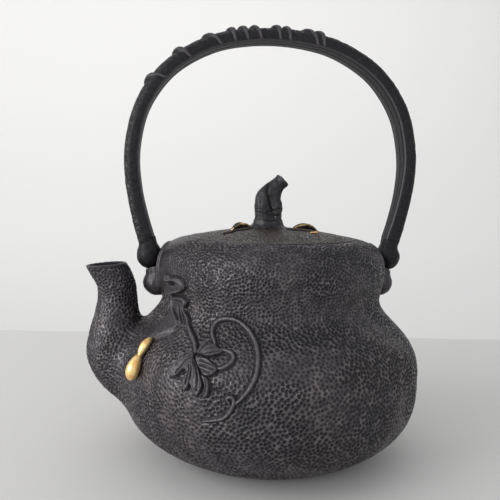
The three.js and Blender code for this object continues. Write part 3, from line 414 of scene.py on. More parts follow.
class Table:
    """Values over two coordinates on a square grid, read between its points."""

    def __init__(self, low, high, step, function):
        self.low, self.step = low, step
        self.last = [int((b - a) / step) for a, b in zip(low, high)]
        axes = [start + step * np.arange(last + 1) for start, last in zip(low, self.last)]
        a, b = np.meshgrid(*axes, indexing="ij")
        layers = function(np.stack([a.ravel(), b.ravel()], 1))
        self.layers = [layer.reshape(a.shape) for layer in layers]

    def read(self, a, b):
        i = np.clip((a - self.low[0]) / self.step, 0, self.last[0] - 0.001)
        j = np.clip((b - self.low[1]) / self.step, 0, self.last[1] - 0.001)
        i0, j0 = i.astype(int), j.astype(int)
        u, v = i - i0, j - j0
        return [
            (layer[i0, j0] * (1 - u) + layer[i0 + 1, j0] * u) * (1 - v)
            + (layer[i0, j0 + 1] * (1 - u) + layer[i0 + 1, j0 + 1] * u) * v
            for layer in self.layers
        ]


class Turned:
    """Distance to a solid of revolution, given as the outline of its right half from the axis to the axis."""

    def __init__(self, outline, step=0.4, margin=8):
        right = np.array(outline, float)
        left = right[::-1] * (-1, 1)
        whole = np.vstack([right, left])
        low = (0, right[:, 1].min() - margin)
        high = (right[:, 0].max() + margin, right[:, 1].max() + margin)
        self.table = Table(low, high, step, lambda p: [outline_distance(p, whole)])

    def __call__(self, x, y, along):
        return self.table.read(np.hypot(x, y), along)[0]


# The casting's own form.
def pot_radius(z):
    bowl = 1 - (1 - np.clip(z, 0, BELLY_HEIGHT) / BELLY_HEIGHT) ** BOWL_FULLNESS
    low = BASE_RADIUS + (BELLY_RADIUS - BASE_RADIUS) * bowl
    t = np.clip((z - BELLY_HEIGHT) / (WAIST_HEIGHT - BELLY_HEIGHT), 0, 1)
    middle = WAIST_RADIUS + (BELLY_RADIUS - WAIST_RADIUS) * (1 + np.cos(np.pi * t ** BELLY_SKEW)) / 2
    t = np.clip((z - WAIST_HEIGHT) / (DRUM_HEIGHT - WAIST_HEIGHT), 0, 1)
    drum = DRUM_RADIUS + (WAIST_RADIUS - DRUM_RADIUS) * (1 + np.cos(np.pi * t)) / 2
    t = np.clip((z - DRUM_HEIGHT) / (SHOULDER_HEIGHT - DRUM_HEIGHT), 0, 1)
    top = SEAT_RADIUS + (DRUM_RADIUS - SEAT_RADIUS) * np.sqrt(1 - t ** SHOULDER_FULLNESS)
    return np.select([z < BELLY_HEIGHT, z < WAIST_HEIGHT, z < DRUM_HEIGHT], [low, middle, drum], top)


def wall_frame(angle, height):
    """Point, level direction, upward direction and normal of the pot's wall."""
    a = math.radians(angle)
    step = 0.05
    slope = float(pot_radius(np.array(height + step)) - pot_radius(np.array(height - step))) / (2 * step)
    radius = float(pot_radius(np.array(height)))
    out = np.array([math.cos(a), math.sin(a), 0])
    level = np.array([-math.sin(a), math.cos(a), 0])
    up = np.array([out[0] * slope, out[1] * slope, 1]) / math.hypot(slope, 1)
    return out * radius + (0, 0, height), level, up, np.cross(level, up)


def pot_outline():
    shoulder = np.sin(np.linspace(0, np.pi / 2, 26))
    heights = np.concatenate([
        np.linspace(0, BELLY_HEIGHT, 40),
        np.linspace(BELLY_HEIGHT, WAIST_HEIGHT, 36)[1:],
        np.linspace(WAIST_HEIGHT, DRUM_HEIGHT, 14)[1:],
        DRUM_HEIGHT + (SHOULDER_HEIGHT - DRUM_HEIGHT) * shoulder[1:],
    ])
    side = np.stack([pot_radius(heights), heights], 1)
    return np.vstack([[(0, 0)], side, [(0, SHOULDER_HEIGHT)]])


def bulb_outline():
    turn = np.linspace(0, np.pi, 24)
    return np.stack([BULB_RADIUS * np.sin(turn), -BULB_LENGTH / 2 * np.cos(turn)], 1)


def spout_nearest(points):
    """Distance across the plane to the spout's centre line, with a side, and the outer radius there."""
    line = [(-BELLY_RADIUS - beyond, BELLY_HEIGHT + rise, radius) for beyond, rise, radius in SPOUT_LINE]
    line = np.array(line)
    beyond_end = line[-1] + (line[-1] - line[-2]) * 0.8
    path = smooth_path(np.vstack([line, beyond_end]), 10)
    nearest = np.full(len(points), np.inf)
    side = np.zeros(len(points))
    radius = np.zeros(len(points))
    for a, b in zip(path[:-1], path[1:]):
        edge = (b - a)[:2]
        away = points - a[:2]
        t = np.clip(away @ edge / (edge @ edge), 0, 1)
        d = ((away - t[:, None] * edge) ** 2).sum(1)
        closer = d < nearest
        nearest[closer] = d[closer]
        side[closer] = np.sign(edge[0] * away[closer, 1] - edge[1] * away[closer, 0])
        radius[closer] = a[2] + (b[2] - a[2]) * t[closer]
    return [np.sqrt(nearest) * side, radius]


POT = Turned(pot_outline())
BULB = Turned(bulb_outline(), step=0.25, margin=4)
SPOUT = Table((-130, 0), (-20, 135), 0.5, spout_nearest)


def above_spout(x, z):
    return (z - SPOUT_END[1]) * math.cos(SPOUT_MOUTH_TILT) - (x - SPOUT_END[0]) * math.sin(SPOUT_MOUTH_TILT)


def spout_outside(x, y, z):
    across, radius = SPOUT.read(x, z)
    return smooth_max(np.hypot(across, y) - radius, above_spout(x, z), 0.7)


def spout_bore(x, y, z):
    across, radius = SPOUT.read(x, z)
    wall = SPOUT_LIP_WALL + (SPOUT_WALL - SPOUT_LIP_WALL) * smoothstep(0, -10, above_spout(x, z))
    return np.hypot(across, y) - radius + wall


def lug_body(x, y, z):
    """Neck with upright ribs over a round lobe, on either side."""
    out = np.abs(x) - LOBE_OUT
    lobe = np.sqrt(out ** 2 + y ** 2 + (z - LOBE_HEIGHT) ** 2) - LOBE_RADIUS
    ribs = RIB_DEPTH * np.cos(RIB_COUNT * np.arctan2(y, out))
    ribs = ribs * smoothstep(LOBE_HEIGHT + 1, LOBE_HEIGHT + 5, z)
    ends = np.maximum(z - NECK_TOP, LOBE_HEIGHT - 2 - z)
    neck = smooth_max(np.hypot(out, y) - NECK_RADIUS + ribs, ends, 0.6)
    return smooth_min(lobe, neck, 0.8)


def lug_pad(y, z, pot):
    ellipse = (np.hypot(y / PAD_HALF_WIDTH, (z - DRUM_HEIGHT) / PAD_HALF_HEIGHT) - 1) * PAD_HALF_WIDTH
    return smooth_max(pot - PAD_RAISE, ellipse, 0.5)


def body_outside(x, y, z):
    """The casting's outer face, before it is hollowed."""
    d = POT(x, y, z)
    near = (np.abs(x) > LUG_ZONE_X) & (z > LUG_ZONE_LOW) & (z < LUG_ZONE_HIGH)
    if near.any():
        lugs = smooth_min(lug_body(x[near], y[near], z[near]), lug_pad(y[near], z[near], d[near]), 0.5)
        d[near] = smooth_min(d[near], lugs, 0.8)
    near = x < SPOUT_ZONE_X
    if near.any():
        d[near] = smooth_min(d[near], spout_outside(x[near], y[near], z[near]), 7)
    return d


def body_hollows(x, y, z):
    """Everything cut out of the casting, negative in the hollows."""
    radius = np.hypot(x, y)
    water = smooth_max(POT(x, y, z) + WALL, z - WATER_CEILING, 2)
    water = np.maximum(water, FLOOR_THICKNESS - z)
    boss_end = DRUM_RADIUS - WALL - BOSS_DEPTH - np.abs(x)
    boss = np.maximum(np.hypot(y, z - PIVOT_HEIGHT) - BOSS_RADIUS, boss_end)
    water = np.maximum(water, -boss)
    mouth = np.maximum(radius - (SEAT_RADIUS - LEDGE_WIDTH), WATER_CEILING - 2 - z)
    seat = np.maximum(radius - SEAT_RADIUS, SHOULDER_HEIGHT - SEAT_DEPTH - z)
    hollow = np.minimum(np.minimum(water, mouth), seat)
    near = x < BORE_ZONE_X
    if near.any():
        hollow[near] = np.minimum(hollow[near], spout_bore(x[near], y[near], z[near]))
    near = (np.abs(x) > SOCKET_ZONE_X) & (z > SOCKET_ZONE_LOW)
    if near.any():
        across = np.hypot(y[near], z[near] - PIVOT_HEIGHT)
        pin = np.maximum(across - PIN_RADIUS - GAP, PIN_INNER_END - np.abs(x[near]))
        bulb = BULB(across, 0, np.abs(x[near]) - BULB_OUT) - BULB_CLEARANCE
        hollow[near] = np.minimum(hollow[near], np.minimum(pin, bulb))
    return hollow


def body_field(x, y, z):
    return smooth_max(body_outside(x, y, z), -body_hollows(x, y, z), 0.5)


def chain_field(x, y, z, stations):
    """A chain of round cones through stations of x, y, z and radius."""
    d = np.full(x.shape, np.inf)
    for a, b in zip(stations[:-1], stations[1:]):
        ax, ay, az, ar = a
        ex, ey, ez = b[0] - ax, b[1] - ay, b[2] - az
        t = ((x - ax) * ex + (y - ay) * ey + (z - az) * ez) / (ex * ex + ey * ey + ez * ez)
        t = np.clip(t, 0, 1)
        off = np.sqrt((x - ax - t * ex) ** 2 + (y - ay - t * ey) ** 2 + (z - az - t * ez) ** 2)
        d = np.minimum(d, off - ar - (b[3] - ar) * t)
    return d


# Meshes from fields.
def mesh_field(field, low, high, voxel):
    """Points and quads of a field's surface, wound outward."""
    axes = [np.arange(a, b + voxel, voxel) for a, b in zip(low, high)]
    x, y = np.meshgrid(axes[0], axes[1], indexing="ij")
    values = np.empty([len(axis) for axis in axes], np.float32)
    for k, height in enumerate(axes[2]):
        values[:, :, k] = field(x, y, np.full_like(x, height))
    band = 3 * voxel
    grid = openvdb.FloatGrid(background=band)
    grid.copyFromArray(np.clip(values, -band, band))
    points, quads = grid.convertToQuads(isovalue=0.0)
    points = np.array(points, float) * voxel + low
    quads = np.array(quads, int)
    a, b, c, d = (points[quads[:, i]] for i in range(4))
    if np.einsum("ij,ij->i", a, np.cross(b, c) + np.cross(c, d)).sum() < 0:
        quads = quads[:, ::-1]
    return points, quads


def slope_of(field, points, step):
    """Unit direction in which a field grows fastest."""
    columns = []
    for axis in range(3):
        shift = np.zeros(3)
        shift[axis] = step
        columns.append(field(*(points + shift).T) - field(*(points - shift).T))
    return unit(np.stack(columns, 1))


def settle(points, field, reach):
    """Moves points onto a field's surface, no further than reach."""
    for _ in range(2):
        value = field(*points.T)
        points = points - np.clip(value, -reach, reach)[:, None] * slope_of(field, points, 0.15)
    return points


def scatter(points, spacing, seed):
    """An even random choice of points, each at least its own spacing from the others."""
    order = list(range(len(points)))
    random.Random(seed).shuffle(order)
    keys = np.floor(points / float(spacing.max())).astype(int)
    places = points.tolist()
    gaps = (spacing ** 2).tolist()
    around = [(i, j, k) for i in (-1, 0, 1) for j in (-1, 0, 1) for k in (-1, 0, 1)]
    cells = {}
    chosen = []
    for index in order:
        a, b, c = keys[index]
        p = places[index]
        gap = gaps[index]
        taken = False
        for i, j, k in around:
            for q in cells.get((a + i, b + j, c + k), ()):
                if (p[0] - q[0]) ** 2 + (p[1] - q[1]) ** 2 + (p[2] - q[2]) ** 2 < gap:
                    taken = True
                    break
            if taken:
                break
        if not taken:
            cells.setdefault((a, b, c), []).append(p)
            chosen.append(index)
    return points[chosen], spacing[chosen]


def pits_at(points, centres, across, seed):
    """0 on the net between round pits to 1 in a pit's middle, and each pit's own depth share."""
    tree = KDTree(len(centres))
    for i, centre in enumerate(centres.tolist()):
        tree.insert(centre, i)
    tree.balance()
    depth = np.random.default_rng(seed).uniform(0.55, 1.1, len(centres))
    reach = across * np.random.default_rng(seed + 1).uniform(0.62, 0.8, len(centres))
    found = [tree.find_n(p, 2) for p in points.tolist()]
    first = np.array([nearest[2] for nearest, _ in found])
    second = np.array([next_one[2] for _, next_one in found])
    which = np.array([nearest[1] for nearest, _ in found])
    inside = (second - first) / np.maximum(second + first, TINY)
    bowl = np.clip(1 - (first / reach[which]) ** 2, 0, 1)
    return bowl * smoothstep(0, 0.16, inside), depth[which]


def drift(points, size, seed):
    """A slow random change over the surface, from 0 to 1."""
    source = np.random.default_rng(seed)
    total = np.zeros(len(points))
    for _ in range(9):
        ahead = source.normal(size=3)
        total += np.sin(points @ ahead * (2 / size) + source.uniform(0, 6.3))
    return smoothstep(-3, 3, total)


def split_quads(points, quads, chosen):
    """Splits the chosen quads in four. Their neighbours take up the new points on the shared edges."""
    count = len(points)

    def edge_codes(faces):
        ends = np.sort(np.stack([faces, np.roll(faces, -1, 1)], -1), -1)
        return ends[..., 0] * count + ends[..., 1]

    picked, rest = quads[chosen], quads[~chosen]
    codes, which = np.unique(edge_codes(picked), return_inverse=True)
    middle = which.reshape(-1, 4) + count
    centre = np.arange(len(picked)) + count + len(codes)
    ends = np.stack([codes // count, codes % count], 1)
    points = np.vstack([points, points[ends].mean(1), points[picked].mean(1)])
    small = [np.stack([picked[:, i], middle[:, i], centre, middle[:, i - 1]], 1) for i in range(4)]
    around = edge_codes(rest)
    place = np.minimum(np.searchsorted(codes, around), len(codes) - 1)
    shared = codes[place] == around
    touched = shared.any(1)
    faces = np.concatenate(small + [rest[~touched]])
    seams = []
    rims = zip(rest[touched].tolist(), (place[touched] + count).tolist(), shared[touched].tolist())
    for corners, at, hit in rims:
        ring = []
        for i in range(4):
            ring.append(corners[i])
            if hit[i]:
                ring.append(at[i])
        seams.append(ring)
    return points, faces, seams


def coarsen(points, faces, seams, fixed, cell):
    """Merges the points that aren't fixed into cells, for faces that hardly show."""
    stride = 4099
    key = np.floor(points / cell).astype(np.int64)
    code = (key[:, 0] * stride + key[:, 1]) * stride + key[:, 2]
    code[fixed] = np.arange(fixed.sum()) + code.max() + 10
    _, group = np.unique(code, return_inverse=True)
    count = group.max() + 1
    total = np.zeros((count, 3))
    np.add.at(total, group, points)
    merged = total / np.bincount(group, minlength=count)[:, None]
    kept = []
    for face in group[faces].tolist() + [group[seam].tolist() for seam in seams]:
        ring = [v for i, v in enumerate(face) if v != face[i - 1]]
        if len(ring) > 2 and len(set(ring)) == len(ring):
            kept.append(ring)
    return merged, kept, group


def tube_faces(count, sides, flip=False):
    """Quads between rings of points, with a cap at either end."""
    index = np.arange(count).reshape(-1, sides)
    beside = np.roll(index, -1, 1)
    quads = np.stack([index[:-1], beside[:-1], beside[1:], index[1:]], -1)
    faces = quads.reshape(-1, 4).tolist() + [index[0][::-1].tolist(), index[-1].tolist()]
    return [face[::-1] for face in faces] if flip else faces


def new_piece(name, points, faces, body, material, replaced, marks=None):
    """A smooth mesh piece on a body, with marks as named values per point for its material."""
    mesh = bpy.data.meshes.new(name)
    corners = faces if isinstance(faces, list) else faces.tolist()
    mesh.from_pydata((points * MM).tolist(), [], corners)
    for mark, values in (marks or {}).items():
        attribute = mesh.attributes.new(mark, "FLOAT", "POINT")
        attribute.data.foreach_set("value", np.asarray(values, np.float32).ravel())
    mesh.validate()
    mesh.update()
    mesh.shade_smooth()
    mesh.materials.append(material)
    piece = bpy.data.objects.new(name, mesh)
    bpy.context.scene.collection.objects.link(piece)
    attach(piece, body)
    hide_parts(replaced)


# Relief, as height over the wall, wear with painted highlight, painted crevice shade and cover per point.
class Chart:
    """A flat map of the wall round one of its points."""

    def __init__(self, middle):
        self.origin, self.level, self.up, _ = wall_frame(*middle)

    def flatten(self, points):
        away = points - self.origin
        return np.stack([away @ self.level, away @ self.up], 1)

    def outline(self, places):
        return self.flatten(np.array([wall_frame(*place)[0] for place in places]))


def lobe_relief(flat, chart, lobe):
    """One lobe with its folds and ridges, and a groove round it."""
    inside = -outline_distance(flat, smooth_path(chart.outline(lobe.outline), 5, closed=True))
    near = inside > -2
    depth = inside[near]
    on_top = smoothstep(0, 0.7, depth)
    past_edge = smoothstep(-0.1, 0.5, depth)
    h = (lobe.height - 0.4) * past_edge + 0.4 * smoothstep(0.5, 3, depth) - 0.4 * bell(depth, -0.45, 0.4)
    # The lobe's edge gets painted highlight, and the groove round it painted shade.
    w = 0.15 * on_top + 0.6 * bell(depth, 0.5, 0.35)
    c = bell(depth, -0.4, 0.45)
    # Folds are painted dark with painted shade, and lose their highlight.
    for path, fold, width in lobe.folds:
        d, _ = path_distance(flat[near], smooth_path(chart.outline(path), 6))
        dip = bell(d, 0, width)
        h -= fold * dip * on_top
        c = np.maximum(c, 0.75 * dip * on_top)
        w *= 1 - dip
    # Ridges get painted highlight and lose their painted shade.
    for path, rise, width in lobe.ridges:
        d, _ = path_distance(flat[near], smooth_path(chart.outline(path), 6))
        crest = bell(d, 0, width)
        h += rise * crest * past_edge
        w = np.maximum(w, crest)
        c *= 1 - crest
    height, wear_and_highlight, crevice_shade = np.zeros((3, len(flat)))
    height[near], wear_and_highlight[near], crevice_shade[near] = h, w, c
    return height, wear_and_highlight, crevice_shade, smoothstep(-0.7, 0.1, inside)


def vine_relief(points, places, radius, tip_share):
    """A round vine that lies on the wall along places, with a groove on either side."""
    path = np.array([wall_frame(*place)[0] for place in smooth_path(places, 6)])
    d, share = path_distance(points, path)
    r = radius * (1 + (tip_share - 1) * np.abs(2 * share - 1) ** 3)
    height = 1.1 * np.sqrt(np.maximum(r ** 2 - d ** 2, 0)) - 0.35 * bell(d - r, 0.4, 0.35)
    # The vine gets painted highlight along its crest and painted shade in the grooves on either side.
    return height, 0.8 * bell(d, 0, 0.5 * r), bell(d - r, 0.45, 0.4), 1 - smoothstep(r + 0.2, r + 0.9, d)


def relief_at(points):
    """All relief on the pot. The drape fades out where the spout hides it."""
    angle = np.degrees(np.arctan2(points[:, 1], points[:, 0]))
    angle[angle > 150] -= 360
    up = points[:, 2]
    height, wear_and_highlight, crevice_shade, cover = np.zeros((4, len(points)))

    def lay(near, parts, fade=1):
        h, w, c, k = (part * fade for part in parts)
        higher = h > np.maximum(height[near], 0)
        lower = np.abs(height[near]) < 0.3
        crevice_shade[near] = np.where(higher, c, np.where(lower, np.maximum(crevice_shade[near], c), crevice_shade[near]))
        wear_and_highlight[near] = np.where(higher, w, wear_and_highlight[near])
        height[near] = np.where(higher | (lower & (h < 0)), h, height[near])
        cover[near] = np.maximum(cover[near], k)

    def zone(first_angle, last_angle, low, high):
        return (angle > first_angle) & (angle < last_angle) & (up > low) & (up < high)

    def lay_lobes(near, middle, lobes, fade=1):
        chart = Chart(middle)
        flat = chart.flatten(points[near])
        for lobe in lobes:
            lay(near, lobe_relief(flat, chart, lobe), fade)

    on_pot = (points[:, 0] < -40) & (POT(*points.T) < 5)
    drape = np.flatnonzero(zone(-195, -133, 68, 112) & on_pot)
    lay_lobes(drape, DRAPE_MIDDLE, DRAPE_LOBES, smoothstep(-164, -153, angle[drape]))
    vines = np.flatnonzero(zone(-152, -98, 38, 96))
    for places, radius, tip_share in VINES:
        lay(vines, vine_relief(points[vines], places, radius, tip_share))
    lay_lobes(np.flatnonzero(zone(-142, -112, 50, 82)), LEAF_MIDDLE, LEAF_LOBES)
    return height, wear_and_highlight, crevice_shade, cover


# Materials.
# BLACK also serves as painted shade in pits and crevices; RIM is the pale net and worn edges, partly painted
# highlight.
BLACK, CHARCOAL, RIM, BROWN = (
    (0.004, 0.0035, 0.0045), (0.0195, 0.0165, 0.0205), (0.145, 0.132, 0.143), (0.15, 0.115, 0.085),
)
LID_SHADE = (0.046, 0.037, 0.0325)
FORGED, FORGED_SPOT = (0.009, 0.0084, 0.0106), (0.13, 0.12, 0.108)
STEM, STEM_STREAK = (0.016, 0.0145, 0.017), (0.1, 0.088, 0.078)
GOLD, DEEP_GOLD, BARE_BRONZE = (1.0, 0.76, 0.34), (0.85, 0.48, 0.18), (0.04, 0.031, 0.026)


class Look:
    """A node material with a principled shader, built one node at a time."""

    def __init__(self, name):
        self.material = bpy.data.materials.new(name)
        self.material.use_nodes = True
        self.tree = self.material.node_tree
        self.shader = self.tree.nodes["Principled BSDF"]
        self.place = self.node("ShaderNodeTexCoord").outputs["Object"]

    def node(self, kind, **settings):
        made = self.tree.nodes.new(kind)
        for name, value in settings.items():
            setattr(made, name, value)
        return made

    def put(self, socket, value):
        if isinstance(value, bpy.types.NodeSocket):
            self.tree.links.new(value, socket)
        elif isinstance(value, tuple) and socket.type == "RGBA":
            socket.default_value = (*value, 1)
        else:
            socket.default_value = value

    def mark(self, name):
        return self.node("ShaderNodeAttribute", attribute_name=name).outputs["Fac"]

    def noise(self, scale, detail=3.0, rough=0.5, stretch=None):
        made = self.node("ShaderNodeTexNoise")
        place = self.place
        if stretch:
            mapping = self.node("ShaderNodeMapping")
            self.put(mapping.inputs["Vector"], place)
            mapping.inputs["Scale"].default_value = stretch
            place = mapping.outputs["Vector"]
        for name, given in (("Vector", place), ("Scale", scale), ("Detail", detail), ("Roughness", rough)):
            self.put(made.inputs[name], given)
        return made.outputs["Fac"]

    def ramp(self, value, low, high, to_low=0.0, to_high=1.0):
        made = self.node("ShaderNodeMapRange", interpolation_type="SMOOTHSTEP")
        names = ("Value", "From Min", "From Max", "To Min", "To Max")
        for name, given in zip(names, (value, low, high, to_low, to_high)):
            self.put(made.inputs[name], given)
        return made.outputs["Result"]

    def math(self, operation, a, b):
        made = self.node("ShaderNodeMath", operation=operation)
        self.put(made.inputs[0], a)
        self.put(made.inputs[1], b)
        return made.outputs["Value"]

    def times(self, a, b):
        return self.math("MULTIPLY", a, b)

    def plus(self, a, b):
        return self.math("ADD", a, b)

    def mix(self, share, a, b):
        made = self.node("ShaderNodeMix", data_type="RGBA")
        self.put(made.inputs["Factor"], share)
        self.put(made.inputs[6], a)
        self.put(made.inputs[7], b)
        return made.outputs[2]

    def wear_and_painted_light(self, colour, share):
        """A colour that is paler where it is worn or carries a painted highlight, and black with painted shade
        in crevices.
        """
        colour = self.mix(self.times(self.mark("wear_and_highlight"), share), colour, RIM)
        return self.mix(self.times(self.mark("crevice_shade"), 0.85), colour, BLACK)

    def bump(self, height, distance, strength):
        made = self.node("ShaderNodeBump")
        self.put(made.inputs["Height"], height)
        made.inputs["Distance"].default_value = distance * MM
        made.inputs["Strength"].default_value = strength
        self.put(self.shader.inputs["Normal"], made.outputs["Normal"])

    def surface(self, **values):
        for name, value in values.items():
            self.put(self.shader.inputs[name.replace("_", " ").title().replace("Ior", "IOR")], value)


def pitted_iron(name, shade):
    """Blackened cast iron: pits darkened with painted shade, a paler net between them that is partly worn and
    partly painted highlight, and worn edges with painted highlight.
    """
    look = Look(name)
    pit = look.mark("pit")
    net = look.ramp(pit, 0, 0.38, 1, 0)
    patches = look.ramp(look.noise(30), 0.4, 0.68)
    grain = look.noise(1300, 4, 0.6)
    wear_and_painted_light = look.times(net, look.ramp(look.noise(170), 0.35, 0.7, 0.3, 1))
    # Pits go towards black: painted shade in their hollows.
    colour = look.mix(look.ramp(pit, 0.2, 0.8), shade, BLACK)
    # The net goes towards RIM in patches: partly worn iron, partly painted highlight.
    colour = look.mix(look.times(wear_and_painted_light, 0.7), colour, RIM)
    colour = look.mix(look.times(wear_and_painted_light, look.times(patches, 0.25)), colour, BROWN)
    colour = look.mix(look.ramp(grain, 0.35, 0.75, 0, 0.3), look.wear_and_painted_light(colour, 0.6), BLACK)
    shine = look.plus(look.times(net, -0.12), look.times(grain, 0.3))
    look.surface(base_color=colour, roughness=look.ramp(shine, -0.05, 0.3, 0.26, 0.56), metallic=0.3)
    look.bump(look.plus(look.times(grain, 0.6), look.noise(2600, 2)), 0.1, 0.5)
    return look.material


def forged_iron(name, has_grit):
    """Blackened forged iron: smooth and satin, gritty where it faces out, paler along worn edges and painted
    highlights, and black with painted shade in crevices.
    """
    look = Look(name)
    grain = look.noise(900, 4, 0.62)
    spots = look.ramp(look.noise(640, 3, 0.6), 0.5, 0.64)
    if has_grit:
        spots = look.times(spots, look.ramp(look.mark("grit"), 0, 1, 0.15, 1))
    colour = look.wear_and_painted_light(look.mix(look.times(spots, 0.6), FORGED, FORGED_SPOT), 0.7)
    look.surface(base_color=colour, roughness=look.ramp(grain, 0.25, 0.75, 0.4, 0.58))
    look.surface(metallic=0.3, specular_ior_level=0.3)
    look.bump(look.plus(look.times(grain, 0.6), look.times(spots, 0.5)), 0.16, 0.55)
    return look.material


def smooth_iron(name):
    """Blackened iron with fine streaks that run along the stem."""
    look = Look(name)
    streaks = look.noise(160, 4, 0.6, stretch=(2.4, 2.4, 0.35))
    colour = look.mix(look.ramp(streaks, 0.52, 0.75, 0, 0.45), STEM, STEM_STREAK)
    # Paler where marked worn and lit, with painted highlight, and black with painted shade in the fold.
    look.surface(base_color=look.wear_and_painted_light(colour, 0.7), metallic=0.25)
    look.surface(roughness=look.ramp(streaks, 0.3, 0.7, 0.5, 0.38))
    look.bump(look.plus(streaks, look.times(look.noise(1200), 0.3)), 0.25, 0.6)
    return look.material


def gilding(name, is_worn):
    """Gold leaf over dark bronze, worn through in patches or whole."""
    look = Look(name)
    patches = look.noise(260, 4, 0.6)
    colour = look.mix(look.ramp(patches, 0.45, 0.62), GOLD, DEEP_GOLD)
    if is_worn:
        left = look.ramp(look.plus(look.mark("gild"), look.times(patches, 0.6)), 0.95, 1.2)
        colour = look.mix(left, BARE_BRONZE, colour)
        look.surface(metallic=look.ramp(left, 0, 1, 0.2, 1), roughness=look.ramp(left, 0, 1, 0.6, 0.4))
    else:
        look.surface(metallic=0.85, roughness=look.ramp(patches, 0.3, 0.7, 0.34, 0.5))
    look.surface(base_color=colour)
    look.bump(look.noise(700), 0.12, 0.5)
    return look.material


KETTLE_IRON = pitted_iron("kettle_iron", CHARCOAL)
LID_IRON = pitted_iron("lid_iron", LID_SHADE)
HANDLE_IRON = forged_iron("handle_iron", has_grit=True)
PLAIN_IRON = forged_iron("plain_iron", has_grit=False)
KNOB_IRON = smooth_iron("knob_iron")
GILT = gilding("gilt", is_worn=False)
WORN_GILT = gilding("worn_gilt", is_worn=True)


# Pieces.
def plain_on_body(points, clear, cover):
    """Where the casting has no pits: relief, lugs, edges, the base, the spout's lip and above its root."""
    x, y, z = points.T
    pad = np.where(np.abs(x) > LUG_ZONE_X, lug_pad(y, z, POT(x, y, z)), FAR)
    spout = np.where(x < -60, spout_outside(x, y, z), FAR)
    from_spout = np.abs(np.abs(np.degrees(np.arctan2(y, x))) - 180)
    return np.maximum.reduce([
        0.85 * cover,
        1 - smoothstep(0.6, 2.2, np.minimum(lug_body(x, y, z), pad)),
        1 - smoothstep(0.3, 1.3, clear),
        1 - smoothstep(0.3, 1.5, z),
        np.where(spout < 1.5, smoothstep(-2, -0.8, above_spout(x, z)), 0),
        0.8 * smoothstep(32, 16, from_spout) * smoothstep(92, 99, z) * (spout > 1.5),
    ])


def build_body():
    """The casting. Its pits come from the coarser mesh, and the side that shows is split finer first."""
    points, quads = mesh_field(body_field, (-110, -89, -2), (89, 89, 128), BODY_VOXEL)
    hollow = body_hollows(*points.T)
    outer = (body_outside(*points.T) > -0.5 * BODY_VOXEL) & (hollow > 0)
    points[outer] = settle(points[outer], body_field, 0.5 * BODY_VOXEL)
    x, y, z = points.T
    spacing = PIT_SPACING_BELLY + (PIT_SPACING_DRUM - PIT_SPACING_BELLY) * smoothstep(78, 96, z)
    spacing = np.where(x < -88, PIT_SPACING_SPOUT, spacing)
    fit = np.flatnonzero(outer & (z > 0.4))
    centres, across = scatter(points[fit], spacing[fit], BODY_SCATTER)
    seams = []
    middle = points[quads].mean(1)
    shown = outer[quads].all(1) & ((middle[:, 1] < FINE_BEFORE_Y) | (middle[:, 0] < FINE_BEFORE_X))
    count = len(points)
    points, quads, seams = split_quads(points, quads, shown)
    points[count:] = settle(points[count:], body_field, 0.5 * BODY_VOXEL)
    outer = np.concatenate([outer, np.ones(len(points) - count, bool)])
    hollow = body_hollows(*points.T)
    face = points[outer]
    x, y, z = face.T
    clear = hollow[outer]
    outward = slope_of(body_outside, face, 0.5)
    relief, wear_and_highlight, crevice_shade, cover = relief_at(face)
    plain = plain_on_body(face, clear, cover)
    pit, depth = pits_at(face, centres, across, BODY_PITS)
    pit *= 1 - plain
    depth *= 0.55 + 0.75 * drift(face, 16, BODY_PATCHES)
    bumps = BODY_BUMP * (drift(face, BUMP_SIZE, BODY_BUMPS) - 0.5)
    lift = relief * smoothstep(0, 1.5, clear) - PIT_DEPTH * depth * pit + bumps
    points[outer] += outward * lift[:, None]
    # The lips of the openings and the lug pads' front edges are painted pale, partly worn and partly painted
    # highlight; relief adds its own painted highlight and shade.
    lip = bell(clear, 0.35, 0.5) * (z > 20)
    pad_edge = bell(lug_pad(y, z, POT(x, y, z) - PAD_RAISE), 0, 0.5) * (np.abs(x) > LUG_ZONE_X) * (z > 90)
    on_face = {
        "pit": pit * np.minimum(depth, 1) + 0.24 * plain,
        "wear_and_highlight": np.maximum(wear_and_highlight, np.maximum(0.8 * lip, 0.35 * pad_edge)),
        "crevice_shade": crevice_shade,
    }
    beside = np.zeros(len(points), bool)
    beside[quads[outer[quads].any(1)].ravel()] = True
    socket = (np.abs(points[:, 0]) > 62) & (points[:, 2] > 104)
    kept = outer | beside | (hollow > -0.5) & ((points[:, 2] > 112) | socket)
    merged, faces, group = coarsen(points, quads, seams, kept, INNER_CELL)
    marks = {}
    for name, values in on_face.items():
        marks[name] = np.full(len(merged), 0.5 if name == "pit" else 0.0)
        marks[name][group[outer]] = values
    new_piece("pitted_body", merged, faces, "kettle", KETTLE_IRON, "kettle_body", marks)


def off_wall(places):
    """Points lifted off the pot's wall, from angle, height and lift."""
    out = []
    for angle, height, lift in places:
        point, _, _, normal = wall_frame(angle, height)
        out.append(point + normal * lift)
    return np.array(out)


def build_gourd():
    """Two lobes on one line, with a stalk, cut to lie on the wall."""
    line = np.column_stack([off_wall([place[:3] for place in GOURD]), [place[3] for place in GOURD]])
    path = smooth_path(line, 3)

    def field(x, y, z):
        return smooth_max(chain_field(x, y, z, path), 0.3 - POT(x, y, z), 0.3)

    low, high = line[:, :3].min(0) - 6, line[:, :3].max(0) + 6
    points, quads = mesh_field(field, low, high, GOURD_VOXEL)
    new_piece("gilded_gourd", points, quads, "kettle", GILT, "gilt_gourd")


def lid_height(radius):
    return LID_RIM_TOP + LID_RISE * (1 - (radius / LID_RADIUS) ** 2)


